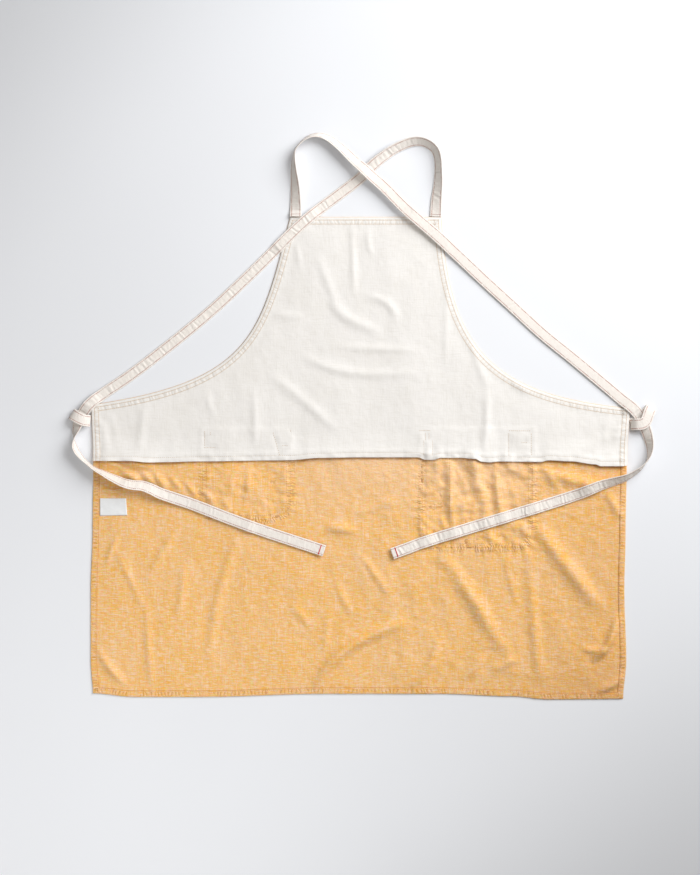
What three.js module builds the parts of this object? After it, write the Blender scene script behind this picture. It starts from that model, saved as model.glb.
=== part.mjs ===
// A cross-back apron lying flat with its inside up: an ochre body panel backed by a cream lining at
// the bib and waist, two patch pockets on the front underneath, two long straps that cross above the
// bib, pass through tape loops at the sides and end as ties on the skirt, and a small blank label.
// Millimetres. X runs across the apron, Y from the skirt hem up to the bib, Z up from the surface.

import * as THREE from 'three';

// Cloth, tape and hem sizes
const CLOTH_THICK = 1.0;
const LINING_THICK = 1.0;
const GAP = 0.35;
const HEM_WIDTH = 12;
const HEM_STEP = 2;
const HEM_RISE = 0.8;
const LINING_INSET = 1.6;
const STRAP_WIDTH = 18.6;
const STRAP_THICK = 1.6;
const STRAP_GAP = 0.5;
const LOOP_WIDTH = 18.6;
const LOOP_THICK = 1.2;
const LABEL_THICK = 0.6;

// Divisions of the cloth grids and of the tape sweeps
const BIB_ROWS = 12;
const YOKE_ROWS = 4;
const SKIRT_ROWS = 16;
const INNER_COLUMNS = 30;
const STEPS_PER_ROW = 3;
const FOLD_POINTS = 24;
const FOLD_END_FADE = 0.6;
const CORNER_STEPS = 6;

// Armhole curves from the bib corner to the waist corner, each with its two handles
const ARMHOLE_LEFT = [[-112, 768], [-159, 589], [-165, 505], [-429, 468]];
const ARMHOLE_RIGHT = [[130, 768], [142, 555], [211, 483], [431, 462]];

// Side edges below the waist: height above the hem and the two edges' places across
const SIDE_EDGES = [
  { y: 470, left: -429, right: 431 },
  { y: 378, left: -426, right: 426 },
  { y: 267, left: -427, right: 424 },
  { y: 171, left: -430, right: 422 },
  { y: 60, left: -430, right: 425 },
  { y: -4, left: -426, right: 420 },
];

// Bottom edge of the skirt, a shallow wave
const BOTTOM_EDGE = [
  { x: -430, y: 7 },
  { x: -360, y: 1 },
  { x: -250, y: 1 },
  { x: -56, y: 6 },
  { x: 128, y: 6 },
  { x: 240, y: 2 },
  { x: 304, y: -3 },
  { x: 430, y: -2 },
];

// Free lower edge of the lining
const LINING_EDGE = [
  { x: -430, y: 378 },
  { x: -340, y: 376 },
  { x: -128, y: 379 },
  { x: -60, y: 384 },
  { x: 180, y: 383 },
  { x: 215, y: 376 },
  { x: 290, y: 376 },
  { x: 340, y: 378 },
  { x: 384, y: 370 },
  { x: 430, y: 371 },
];

// Folds standing up in the skirt: a curve through three places, half width and height
const SKIRT_FOLDS = [
  { from: [132, 234], via: [190, 158], to: [226, 84], width: 24, height: 5 },
  { from: [280, 290], via: [318, 206], to: [386, 134], width: 24, height: 5.5 },
  { from: [280, 180], via: [284, 100], to: [290, 20], width: 22, height: 2.5 },
  { from: [300, 372], via: [345, 362], to: [392, 348], width: 22, height: 4 },
  { from: [-40, 70], via: [0, 94], to: [60, 120], width: 24, height: 3 },
];

// Folds standing up in the lining
const LINING_FOLDS = [
  { from: [-42, 632], via: [-20, 598], to: [22, 580], width: 24, height: 3.5 },
  { from: [-10, 748], via: [-10, 700], to: [-8, 640], width: 20, height: 2 },
  { from: [32, 630], via: [38, 610], to: [46, 590], width: 22, height: 2.5 },
  { from: [-90, 546], via: [-20, 524], to: [60, 516], width: 22, height: 2.5 },
  { from: [-130, 500], via: [-70, 464], to: [-20, 426], width: 24, height: 2.5 },
];

// Patch pockets under the body: the stitched outline, with cut bottom corners
const POCKETS = {
  pocket_large: { left: 98, right: 277, top: 427, bottom: 238, cornerX: 24, cornerY: 34 },
  pocket_small: { left: -253, right: -110, top: 427, bottom: 283, cornerX: 46, cornerY: 27 },
};

// How far the body stays raised round a pocket before it comes down to the surface
const POCKET_MARGIN = 40;
const POCKET_RAMP = 40;

// Strap routes: place, height above what lies below, and roll of the tape about its run
const STRAP_LEFT_ROUTE = [
  { x: -103, y: 769.5, lift: 0, roll: 0 },
  { x: -103, y: 795, lift: 0, roll: 25 },
  { x: -104, y: 819, lift: 0, roll: 40 },
  { x: -106, y: 843, lift: 0, roll: 60 },
  { x: -106, y: 860, lift: 0, roll: 74 },
  { x: -104, y: 873, lift: 0, roll: 82 },
  { x: -97, y: 883, lift: 0, roll: 80 },
  { x: -87, y: 892, lift: 0, roll: 74 },
  { x: -76, y: 897, lift: 0, roll: 66 },
  { x: -63, y: 897.5, lift: 0, roll: 58 },
  { x: -49, y: 892, lift: 0, roll: 50 },
  { x: -32, y: 879, lift: 3, roll: 42 },
  { x: -11, y: 859, lift: 5, roll: 30 },
  { x: 14, y: 836, lift: 6.5, roll: 16 },
  { x: 38, y: 815, lift: 7, roll: 8 },
  { x: 75, y: 778, lift: 7, roll: 3 },
  { x: 118, y: 741, lift: 5, roll: 0 },
  { x: 150, y: 712, lift: 2.5, roll: 0 },
  { x: 198, y: 667, lift: 1.2, roll: 0 },
  { x: 245, y: 624, lift: 1, roll: 0 },
  { x: 293, y: 580, lift: 1, roll: 0 },
  { x: 340, y: 542, lift: 1, roll: 0 },
  { x: 388, y: 502, lift: 1, roll: 0 },
  { x: 420, y: 475, lift: 1, roll: 0 },
  { x: 437, y: 461, lift: 2, roll: 0 },
  { x: 448, y: 448, lift: 2.4, roll: 2 },
  { x: 454.5, y: 431, lift: 2, roll: 14 },
  { x: 459.5, y: 415, lift: 0.5, roll: 36 },
  { x: 462.5, y: 398, lift: 0, roll: 62 },
  { x: 459, y: 384, lift: 0, roll: 75 },
  { x: 450, y: 369, lift: 0, roll: 70 },
  { x: 437, y: 358, lift: 0, roll: 67 },
  { x: 424, y: 351, lift: 0, roll: 62 },
  { x: 405, y: 345, lift: 0, roll: 46 },
  { x: 382, y: 338, lift: 0, roll: 32 },
  { x: 352, y: 326, lift: 0, roll: 12 },
  { x: 312, y: 312.5, lift: 0, roll: 0 },
  { x: 224, y: 284, lift: 0, roll: 0 },
  { x: 128, y: 253, lift: 0, roll: 0 },
  { x: 51, y: 229, lift: 0, roll: 0 },
];

const STRAP_RIGHT_ROUTE = [
  { x: 121, y: 770, lift: 0, roll: 0 },
  { x: 122, y: 795, lift: 0, roll: -45 },
  { x: 125, y: 819, lift: 0, roll: -54 },
  { x: 126, y: 843, lift: 0, roll: -58 },
  { x: 127, y: 863, lift: 0, roll: -70 },
  { x: 126, y: 878, lift: 0, roll: -82 },
  { x: 119, y: 889, lift: 0, roll: -78 },
  { x: 109, y: 893.5, lift: 0, roll: -70 },
  { x: 96, y: 893, lift: 0, roll: -62 },
  { x: 80, y: 888, lift: 0, roll: -56 },
  { x: 61, y: 879, lift: 0, roll: -52 },
  { x: 40, y: 866, lift: 0, roll: -46 },
  { x: 21, y: 851, lift: 0, roll: -26 },
  { x: 0, y: 830, lift: 0, roll: 0 },
  { x: -32, y: 805, lift: 0, roll: 0 },
  { x: -64, y: 781, lift: 0, roll: 0 },
  { x: -96, y: 754, lift: 0, roll: 0 },
  { x: -128, y: 723, lift: 0, roll: 0 },
  { x: -160, y: 691, lift: 0, roll: 0 },
  { x: -224, y: 630, lift: 0, roll: 0 },
  { x: -256, y: 602, lift: 0, roll: 0 },
  { x: -304, y: 563, lift: 0, roll: 0 },
  { x: -368, y: 514, lift: 0, roll: 0 },
  { x: -408, y: 487, lift: 0.5, roll: 0 },
  { x: -430, y: 470, lift: 2, roll: 0 },
  { x: -441, y: 457, lift: 2.4, roll: -3 },
  { x: -448, y: 444, lift: 2.2, roll: -12 },
  { x: -452.5, y: 430, lift: 1.5, roll: -38 },
  { x: -456, y: 416, lift: 0.5, roll: -74 },
  { x: -456, y: 404, lift: 0, roll: -106 },
  { x: -452.5, y: 394, lift: 0, roll: -114 },
  { x: -446, y: 385, lift: 0, roll: -114 },
  { x: -437, y: 376, lift: 0, roll: -112 },
  { x: -426, y: 367, lift: 0, roll: -112 },
  { x: -411, y: 359, lift: 0, roll: -120 },
  { x: -393, y: 350, lift: 0, roll: -136 },
  { x: -374, y: 342, lift: 0, roll: -157 },
  { x: -346, y: 335, lift: 0, roll: -177 },
  { x: -272, y: 308, lift: 0, roll: -180 },
  { x: -208, y: 284, lift: 0, roll: -180 },
  { x: -160, y: 268, lift: 0, roll: -180 },
  { x: -57, y: 234, lift: 0, roll: -180 },
];

// Loop tapes from the seam out under the strap, round the fold and back over it:
// place of the tape's middle and the direction of its width in the plane
const LOOP_RIGHT_ROUTE = [
  { x: 433, y: 436, z: 0.95, turn: -90 },
  { x: 445, y: 441, z: 0.95, turn: -72 },
  { x: 456, y: 452, z: 1.0, turn: -44 },
  { x: 462, y: 459, z: 1.6, turn: -40 },
  { x: 465.5, y: 463, z: 5, turn: -38 },
  { x: 464, y: 461.5, z: 9.5, turn: -36 },
  { x: 461, y: 456, z: 11.6, turn: -36 },
  { x: 457, y: 446, z: 12.2, turn: -46 },
  { x: 450, y: 438.5, z: 12.5, turn: -70 },
  { x: 441, y: 436, z: 11, turn: -88 },
  { x: 433, y: 436, z: 3.6, turn: -90 },
];

const LOOP_LEFT_ROUTE = [
  { x: -431, y: 441.5, z: 0.95, turn: 90 },
  { x: -441, y: 443.5, z: 0.95, turn: 80 },
  { x: -451, y: 448, z: 1.0, turn: 66 },
  { x: -457.5, y: 451.5, z: 1.6, turn: 60 },
  { x: -460.5, y: 453, z: 5.5, turn: 60 },
  { x: -459, y: 452, z: 10.5, turn: 60 },
  { x: -455, y: 450, z: 13.2, turn: 62 },
  { x: -448, y: 446, z: 14.2, turn: 72 },
  { x: -439.5, y: 442.5, z: 12, turn: 86 },
  { x: -431, y: 441.5, z: 6.2, turn: 90 },
];

// Care label on the left hem, four corners
const LABEL_CORNERS = [[-416, 290], [-372, 291], [-374, 318], [-416, 318]];

const FINISHES = {
  ochre: new THREE.MeshStandardMaterial({ color: 0xe6b274, roughness: 0.9, metalness: 0 }),
  cream: new THREE.MeshStandardMaterial({ color: 0xf2ece2, roughness: 0.92, metalness: 0 }),
  tape: new THREE.MeshStandardMaterial({ color: 0xf0e8dc, roughness: 0.88, metalness: 0 }),
  label: new THREE.MeshStandardMaterial({ color: 0xe8e8e8, roughness: 0.6, metalness: 0 }),
};

// A height above every piece and the direction to look down from it
const ABOVE_ALL = 100;
const DOWN = new THREE.Vector3(0, 0, -1);

const { degToRad, lerp, smoothstep } = THREE.MathUtils;

// Reads a table column at a place along another column, easing from row to row
function readTable(rows, along, place, column) {
  const falling = rows[0][along] > rows[rows.length - 1][along];
  const ordered = falling ? rows.toReversed() : rows;
  const above = ordered.findIndex((row) => row[along] >= place);
  if (above === 0) {
    return ordered[0][column];
  }
  if (above < 0) {
    return ordered.at(-1)[column];
  }
  const low = ordered[above - 1];
  const high = ordered[above];
  return lerp(low[column], high[column], smoothstep(place, low[along], high[along]));
}

// Reads a table column at a fractional row number
function readRow(rows, place, column) {
  const first = Math.min(Math.floor(place), rows.length - 2);
  return lerp(rows[first][column], rows[first + 1][column], place - first);
}

function bezier(points) {
  return new THREE.CubicBezierCurve(...points.map(([x, y]) => new THREE.Vector2(x, y)));
}

const armholeLeft = bezier(ARMHOLE_LEFT);
const armholeRight = bezier(ARMHOLE_RIGHT);
const waistLeft = armholeLeft.getPoint(1);
const waistRight = armholeRight.getPoint(1);

function waistLine(x) {
  return lerp(waistLeft.y, waistRight.y, (x - waistLeft.x) / (waistRight.x - waistLeft.x));
}

function liningEdge(x) {
  return readTable(LINING_EDGE, 'x', x, 'y');
}

function bottomEdge(x) {
  return readTable(BOTTOM_EDGE, 'x', x, 'y');
}

// Rows of the cloth grid from the bib top down: the bib between the armholes, the yoke down to the
// lining's lower edge, the skirt, and the bottom hem
function clothRows() {
  const rows = [];
  for (let i = 0; i <= BIB_ROWS; i += 1) {
    rows.push({ zone: 'bib', part: i / BIB_ROWS });
  }
  for (let i = 1; i <= YOKE_ROWS; i += 1) {
    rows.push({ zone: 'yoke', part: i / YOKE_ROWS });
  }
  for (let i = 1; i <= SKIRT_ROWS; i += 1) {
    rows.push({ zone: 'skirt', part: i / SKIRT_ROWS });
  }
  rows.push({ zone: 'hem', inset: HEM_WIDTH });
  rows.push({ zone: 'hem', inset: 0 });
  return rows;
}

// Height of a row below the waist at a place across the apron
function rowHeight(row, x) {
  if (row.zone === 'yoke') {
    return lerp(waistLine(x), liningEdge(x), row.part);
  }
  if (row.zone === 'skirt') {
    return lerp(liningEdge(x), bottomEdge(x) + HEM_WIDTH + HEM_STEP, row.part);
  }
  return bottomEdge(x) + row.inset;
}

function rowEnds(row) {
  if (row.zone === 'bib') {
    return [armholeLeft.getPoint(row.part), armholeRight.getPoint(row.part)];
  }
  return ['left', 'right'].map((side) => {
    const y = rowHeight(row, side === 'left' ? waistLeft.x : waistRight.x);
    return new THREE.Vector2(readTable(SIDE_EDGES, 'y', y, side), y);
  });
}

// Places along a row as distances from its left end: hem columns at both ends, even ones between
function columnPlaces(width) {
  const edge = HEM_WIDTH + HEM_STEP;
  const places = [0, HEM_WIDTH];
  for (let i = 0; i <= INNER_COLUMNS; i += 1) {
    places.push(lerp(edge, width - edge, i / INNER_COLUMNS));
  }
  places.push(width - HEM_WIDTH, width);
  return places;
}

// The flat grid of the body panel, row by row
function flatGrid(rows) {
  return rows.map((row) => {
    const [left, right] = rowEnds(row);
    const width = right.x - left.x;
    return columnPlaces(width).map((place) => {
      const point = left.clone().lerp(right, place / width);
      if (row.zone !== 'bib') {
        point.y = rowHeight(row, point.x);
      }
      return point;
    });
  });
}

// Height of a set of folds at one place
function foldHeight(folds, x, y) {
  let height = 0;
  for (const fold of folds) {
    height += fold.height * fold.curve.reduce((best, point) => {
      const away = Math.hypot(x - point.x, y - point.y) / fold.width;
      return Math.max(best, point.fade * Math.exp(-away * away));
    }, 0);
  }
  return height;
}

// Turns each fold's three places into close points that fade out at both ends
function drawFolds(folds) {
  return folds.map(({ from, via, to, width, height }) => {
    const [a, b, c] = [from, via, to].map(([x, y]) => new THREE.Vector2(x, y));
    const handle = b.clone().multiplyScalar(2).sub(a.clone().add(c).multiplyScalar(0.5));
    const bow = new THREE.QuadraticBezierCurve(a, handle, c);
    const curve = bow.getPoints(FOLD_POINTS).map((point, i) => {
      const fade = Math.sin((Math.PI * (i + 0.5)) / (FOLD_POINTS + 1)) ** FOLD_END_FADE;
      return { x: point.x, y: point.y, fade };
    });
    return { curve, width, height };
  });
}

const skirtFolds = drawFolds(SKIRT_FOLDS);
const liningFolds = drawFolds(LINING_FOLDS);

// Lift of the body over the pockets underneath
function pocketLift(x, y) {
  let lift = 0;
  for (const { left, right, top, bottom } of Object.values(POCKETS)) {
    const away = Math.hypot(Math.max(left - x, x - right, 0), Math.max(bottom - y, y - top, 0));
    const near = 1 - smoothstep(away, POCKET_MARGIN, POCKET_MARGIN + POCKET_RAMP);
    lift = Math.max(lift, near * (CLOTH_THICK + GAP));
  }
  return lift;
}

function bodyUnderside(x, y) {
  return pocketLift(x, y) + foldHeight(skirtFolds, x, y);
}

// Closed geometry from an upper and a lower grid of points with the same rows and columns
function sheetGeometry(upper, lower) {
  const rows = upper.length;
  const columns = upper[0].length;
  const points = [...upper.flat(), ...lower.flat()];
  const top = (r, c) => r * columns + c;
  const under = (r, c) => (rows + r) * columns + c;
  const faces = [];
  for (let r = 0; r < rows - 1; r += 1) {
    for (let c = 0; c < columns - 1; c += 1) {
      faces.push(top(r, c), top(r + 1, c), top(r + 1, c + 1));
      faces.push(top(r, c), top(r + 1, c + 1), top(r, c + 1));
      faces.push(under(r, c), under(r + 1, c + 1), under(r + 1, c));
      faces.push(under(r, c), under(r, c + 1), under(r + 1, c + 1));
    }
  }
  const rim = [];
  for (let r = 0; r < rows - 1; r += 1) {
    rim.push([r, 0]);
  }
  for (let c = 0; c < columns - 1; c += 1) {
    rim.push([rows - 1, c]);
  }
  for (let r = rows - 1; r > 0; r -= 1) {
    rim.push([r, columns - 1]);
  }
  for (let c = columns - 1; c > 0; c -= 1) {
    rim.push([0, c]);
  }
  rim.forEach((here, i) => {
    const next = rim[(i + 1) % rim.length];
    faces.push(under(...here), under(...next), top(...next));
    faces.push(under(...here), top(...next), top(...here));
  });
  return indexedGeometry(points, faces);
}

function indexedGeometry(points, faces) {
  const geometry = new THREE.BufferGeometry();
  geometry.setAttribute('position', new THREE.Float32BufferAttribute(points.flat(), 3));
  geometry.setIndex(faces);
  geometry.computeVertexNormals();
  return geometry;
}

function namedMesh(name, geometry, finish) {
  const mesh = new THREE.Mesh(geometry, FINISHES[finish]);
  mesh.name = name;
  return mesh;
}

// Extra thickness of the turned hems on the skirt's sides and bottom
function hemRise(row, column, columns) {
  const atSide = column < 2 || column > columns - 3;
  const hemmed = row.zone === 'hem' || (row.zone === 'skirt' && atSide);
  return hemmed ? HEM_RISE : 0;
}

function bodyPanel() {
  const rows = clothRows();
  const grid = flatGrid(rows);
  const lower = grid.map((line) => line.map(({ x, y }) => [x, y, bodyUnderside(x, y)]));
  const upper = lower.map((line, r) => line.map(([x, y, z], c) => (
    [x, y, z + CLOTH_THICK + hemRise(rows[r], c, line.length)]
  )));
  return namedMesh('body_panel', sheetGeometry(upper, lower), 'ochre');
}

// The lining shares the body's grid, drawn in a little from its edges
function bibLining() {
  const rows = clothRows().filter((row) => row.zone === 'bib' || row.zone === 'yoke');
  const grid = flatGrid(rows);
  const drawnIn = grid.map((line, r) => line.map((point, c) => {
    const atSide = c === 0 || c === line.length - 1;
    const atTop = r === 0;
    const inner = grid[atTop ? r + 1 : r][atSide ? Math.abs(c - 1) : c];
    if (!atSide && !atTop) {
      return point;
    }
    const inward = inner.clone().sub(point).setLength(LINING_INSET);
    return point.clone().add(inward);
  }));
  const lower = drawnIn.map((line) => line.map(({ x, y }) => (
    [x, y, bodyUnderside(x, y) + CLOTH_THICK + GAP + foldHeight(liningFolds, x, y)]
  )));
  const upper = lower.map((line) => line.map(([x, y, z]) => [x, y, z + LINING_THICK]));
  return namedMesh('bib_lining', sheetGeometry(upper, lower), 'cream');
}

function patchPocket(name) {
  const { left, right, top, bottom, cornerX, cornerY } = POCKETS[name];
  const outline = new THREE.Shape();
  outline.moveTo(left, top);
  outline.lineTo(left, bottom + cornerY);
  outline.quadraticCurveTo(left, bottom, left + cornerX, bottom);
  outline.lineTo(right - cornerX, bottom);
  outline.quadraticCurveTo(right, bottom, right, bottom + cornerY);
  outline.lineTo(right, top);
  const options = { depth: CLOTH_THICK, bevelEnabled: false, curveSegments: CORNER_STEPS };
  return namedMesh(name, new THREE.ExtrudeGeometry(outline, options), 'ochre');
}

// Closed tape through stations that each give its middle, its width direction and its thickness
function tapeGeometry(stations, width, thick) {
  const points = [];
  const faces = [];
  const sides = 4;
  for (const { middle, across, normal } of stations) {
    const half = across.clone().multiplyScalar(width / 2);
    const rise = normal.clone().multiplyScalar(thick / 2);
    points.push(middle.clone().sub(half).sub(rise).toArray());
    points.push(middle.clone().add(half).sub(rise).toArray());
    points.push(middle.clone().add(half).add(rise).toArray());
    points.push(middle.clone().sub(half).add(rise).toArray());
  }
  for (let i = 0; i < stations.length - 1; i += 1) {
    for (let k = 0; k < sides; k += 1) {
      const here = i * sides + k;
      const beside = i * sides + ((k + 1) % sides);
      faces.push(here, here + sides, beside + sides);
      faces.push(here, beside + sides, beside);
    }
  }
  const last = points.length - sides;
  faces.push(0, 1, 2, 0, 2, 3);
  faces.push(last, last + 2, last + 1, last, last + 3, last + 2);
  return indexedGeometry(points, faces);
}

// Fractional row numbers at which a route is swept
function sweepPlaces(route) {
  const count = (route.length - 1) * STEPS_PER_ROW;
  return Array.from({ length: count + 1 }, (_, i) => i / STEPS_PER_ROW);
}

function runDirection(points, i) {
  const before = points[Math.max(i - 1, 0)];
  const after = points[Math.min(i + 1, points.length - 1)];
  return after.clone().sub(before).normalize();
}

// Highest point of the pieces below a place, or the surface itself
function groundHeight(pieces, x, y) {
  const above = new THREE.Vector3(x, y, ABOVE_ALL);
  const hits = new THREE.Raycaster(above, DOWN).intersectObjects(pieces);
  return hits.length > 0 ? hits[0].point.z : 0;
}

// A strap laid along its route on the pieces below it
function strap(name, route, below) {
  const spine = new THREE.CatmullRomCurve3(route.map(({ x, y }) => new THREE.Vector3(x, y, 0)));
  const places = sweepPlaces(route);
  const flat = places.map((place) => spine.getPoint(place / (route.length - 1)));
  const rolls = places.map((place) => degToRad(readRow(route, place, 'roll')));
  const ground = flat.map((point, i) => {
    const run = runDirection(flat, i);
    const reach = 0.5 * STRAP_WIDTH * Math.abs(Math.cos(rolls[i])) + STRAP_THICK;
    const next = flat[Math.min(i + 1, flat.length - 1)];
    const heights = [0, 0.25, 0.5, 0.75].flatMap((ahead) => {
      const spot = point.clone().lerp(next, ahead);
      return [-1, -0.5, 0, 0.5, 1].map((side) => (
        groundHeight(below, spot.x + run.y * side * reach, spot.y - run.x * side * reach)
      ));
    });
    return Math.max(...heights);
  });
  const window = (list, i) => list.slice(Math.max(i - 1, 0), i + 2);
  const covered = ground.map((_, i) => Math.max(...window(ground, i)));
  const middles = flat.map((point, i) => {
    const near = window(covered, i);
    const rest = near.reduce((sum, z) => sum + z, 0) / near.length;
    const edge = 0.5 * STRAP_WIDTH * Math.abs(Math.sin(rolls[i]));
    const skin = 0.5 * STRAP_THICK * Math.abs(Math.cos(rolls[i]));
    const z = rest + STRAP_GAP + readRow(route, places[i], 'lift') + edge + skin;
    return new THREE.Vector3(point.x, point.y, z);
  });
  const stations = middles.map((middle, i) => {
    const run = runDirection(middles, i);
    const level = new THREE.Vector3(run.y, -run.x, 0).normalize();
    const across = level.applyAxisAngle(run, -rolls[i]);
    return { middle, across, normal: across.clone().cross(run).normalize() };
  });
  return namedMesh(name, tapeGeometry(stations, STRAP_WIDTH, STRAP_THICK), 'tape');
}

function sideLoop(name, route) {
  const spine = new THREE.CatmullRomCurve3(route.map(({ x, y, z }) => new THREE.Vector3(x, y, z)));
  const places = sweepPlaces(route);
  const middles = places.map((place) => spine.getPoint(place / (route.length - 1)));
  const stations = middles.map((middle, i) => {
    const turn = degToRad(readRow(route, places[i], 'turn'));
    const across = new THREE.Vector3(Math.cos(turn), Math.sin(turn), 0);
    const normal = across.clone().cross(runDirection(middles, i)).normalize();
    return { middle, across, normal };
  });
  return namedMesh(name, tapeGeometry(stations, LOOP_WIDTH, LOOP_THICK), 'tape');
}

function careLabel(below) {
  const outline = new THREE.Shape(LABEL_CORNERS.map(([x, y]) => new THREE.Vector2(x, y)));
  const geometry = new THREE.ExtrudeGeometry(outline, { depth: LABEL_THICK, bevelEnabled: false });
  const label = namedMesh('care_label', geometry, 'label');
  const rest = Math.max(...LABEL_CORNERS.map(([x, y]) => groundHeight(below, x, y)));
  label.position.z = rest + GAP;
  return label;
}

const body = bodyPanel();
const lining = bibLining();
const strapRight = strap('strap_right', STRAP_RIGHT_ROUTE, [body, lining]);
const strapLeft = strap('strap_left', STRAP_LEFT_ROUTE, [body, lining, strapRight]);

const apron = new THREE.Group();
apron.add(body, lining, patchPocket('pocket_large'), patchPocket('pocket_small'));
apron.add(strapLeft, strapRight);
apron.add(sideLoop('side_loop_left', LOOP_LEFT_ROUTE), sideLoop('side_loop_right', LOOP_RIGHT_ROUTE));
apron.add(careLabel([body]));

// The origin is the middle of the apron's box, on the surface it lies on
const box = new THREE.Box3().setFromObject(apron);
const centre = box.getCenter(new THREE.Vector3());
apron.position.set(-centre.x, -centre.y, -box.min.z);

export default apron;
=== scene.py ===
"""A cross-back apron that lies flat with its inside up.

An ochre chambray panel, a cream lining over its bib and waist, two long straps that cross, pass
through the side loops and end as ties, two patch pockets on the hidden face and a blank label.
All tables are in pattern millimetres: x from the middle line, y up from the hem, z from the floor.
"""

import functools
import math

import bpy
import numpy as np
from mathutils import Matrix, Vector, noise
from mathutils.bvhtree import BVHTree
from mathutils.geometry import delaunay_2d_cdt


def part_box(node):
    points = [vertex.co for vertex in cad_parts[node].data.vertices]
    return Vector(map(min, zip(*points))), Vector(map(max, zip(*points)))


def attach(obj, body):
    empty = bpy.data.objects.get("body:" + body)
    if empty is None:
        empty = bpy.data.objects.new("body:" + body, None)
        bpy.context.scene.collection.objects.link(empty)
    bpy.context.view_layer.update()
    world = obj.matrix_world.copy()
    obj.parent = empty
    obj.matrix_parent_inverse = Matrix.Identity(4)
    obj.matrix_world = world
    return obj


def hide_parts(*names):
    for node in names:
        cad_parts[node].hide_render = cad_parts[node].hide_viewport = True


bl_info = {
    "name": "Cross-back apron",
    "version": (1, 0, 0),
    "blender": (4, 5, 0),
    "location": "View3D > Sidebar > Apron",
    "description": "Models and lights a cross-back apron that lies flat with its inside up",
    "category": "Object",
}

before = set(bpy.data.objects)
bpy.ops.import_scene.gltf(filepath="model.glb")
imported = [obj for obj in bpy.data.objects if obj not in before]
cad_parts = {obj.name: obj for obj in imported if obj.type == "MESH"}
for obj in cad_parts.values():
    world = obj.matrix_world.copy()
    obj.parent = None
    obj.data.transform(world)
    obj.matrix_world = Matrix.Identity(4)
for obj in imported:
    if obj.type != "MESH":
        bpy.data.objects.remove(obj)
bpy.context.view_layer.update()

MM = 0.001
BODY_LOW, BODY_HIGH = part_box("body_panel")

# Where the pattern's own zero lies in the frame, from the body panel's left edge and bib top
BODY_LEFT = -430
BIB_TOP = 768
ORIGIN = np.array((BODY_LOW.x - BODY_LEFT * MM, BODY_HIGH.y - BIB_TOP * MM, 0.0))

# Bezier places of each armhole, from the bib top down to the waist corner
ARMHOLE_LEFT = ((-112, 768), (-159, 589), (-165, 505), (-429, 468))
ARMHOLE_RIGHT = ((130, 768), (142, 555), (211, 483), (431, 462))

# Height, left edge, right edge
SIDE_EDGES = (
    (-4, -426, 420),
    (60, -430, 425),
    (171, -430, 422),
    (267, -427, 424),
    (378, -426, 426),
    (470, -429, 431),
)

# Place across, height of the hem
BOTTOM_EDGE = (
    (-430, 7),
    (-360, 1),
    (-250, 1),
    (-56, 6),
    (128, 6),
    (240, 2),
    (304, -3),
    (430, -2),
)

# Place across, height of the lining's free edge, how far it stands off the skirt
FREE_EDGE = (
    (-430, 378.4, 2.0),
    (-400, 378.4, 5.0),
    (-368, 378.4, 6.0),
    (-336, 376.0, 5.4),
    (-308, 376.4, 3.4),
    (-256, 377.6, 0.8),
    (-128, 379.2, 0.9),
    (-112, 379.6, 3.2),
    (-64, 383.2, 3.2),
    (0, 384.0, 2.0),
    (93, 384.0, 2.0),
    (104, 380.2, 0.8),
    (117, 380.0, 0.8),
    (128, 383.2, 1.6),
    (160, 383.2, 2.0),
    (184, 381.6, 2.4),
    (194, 377.0, 3.4),
    (206, 376.0, 3.2),
    (222, 377.4, 1.4),
    (288, 376.6, 1.2),
    (301, 379.2, 2.4),
    (336, 377.6, 3.0),
    (376, 372.8, 3.4),
    (384, 369.8, 4.0),
    (418, 369.8, 4.0),
    (430, 371.2, 3.0),
)

# Name, left, right, top, bottom, width and height of the cut lower corners
POCKETS = (
    ("pocket_large", 98, 277, 427, 238, 24, 34),
    ("pocket_small", -253, -110, 427, 283, 46, 27),
)

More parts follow.
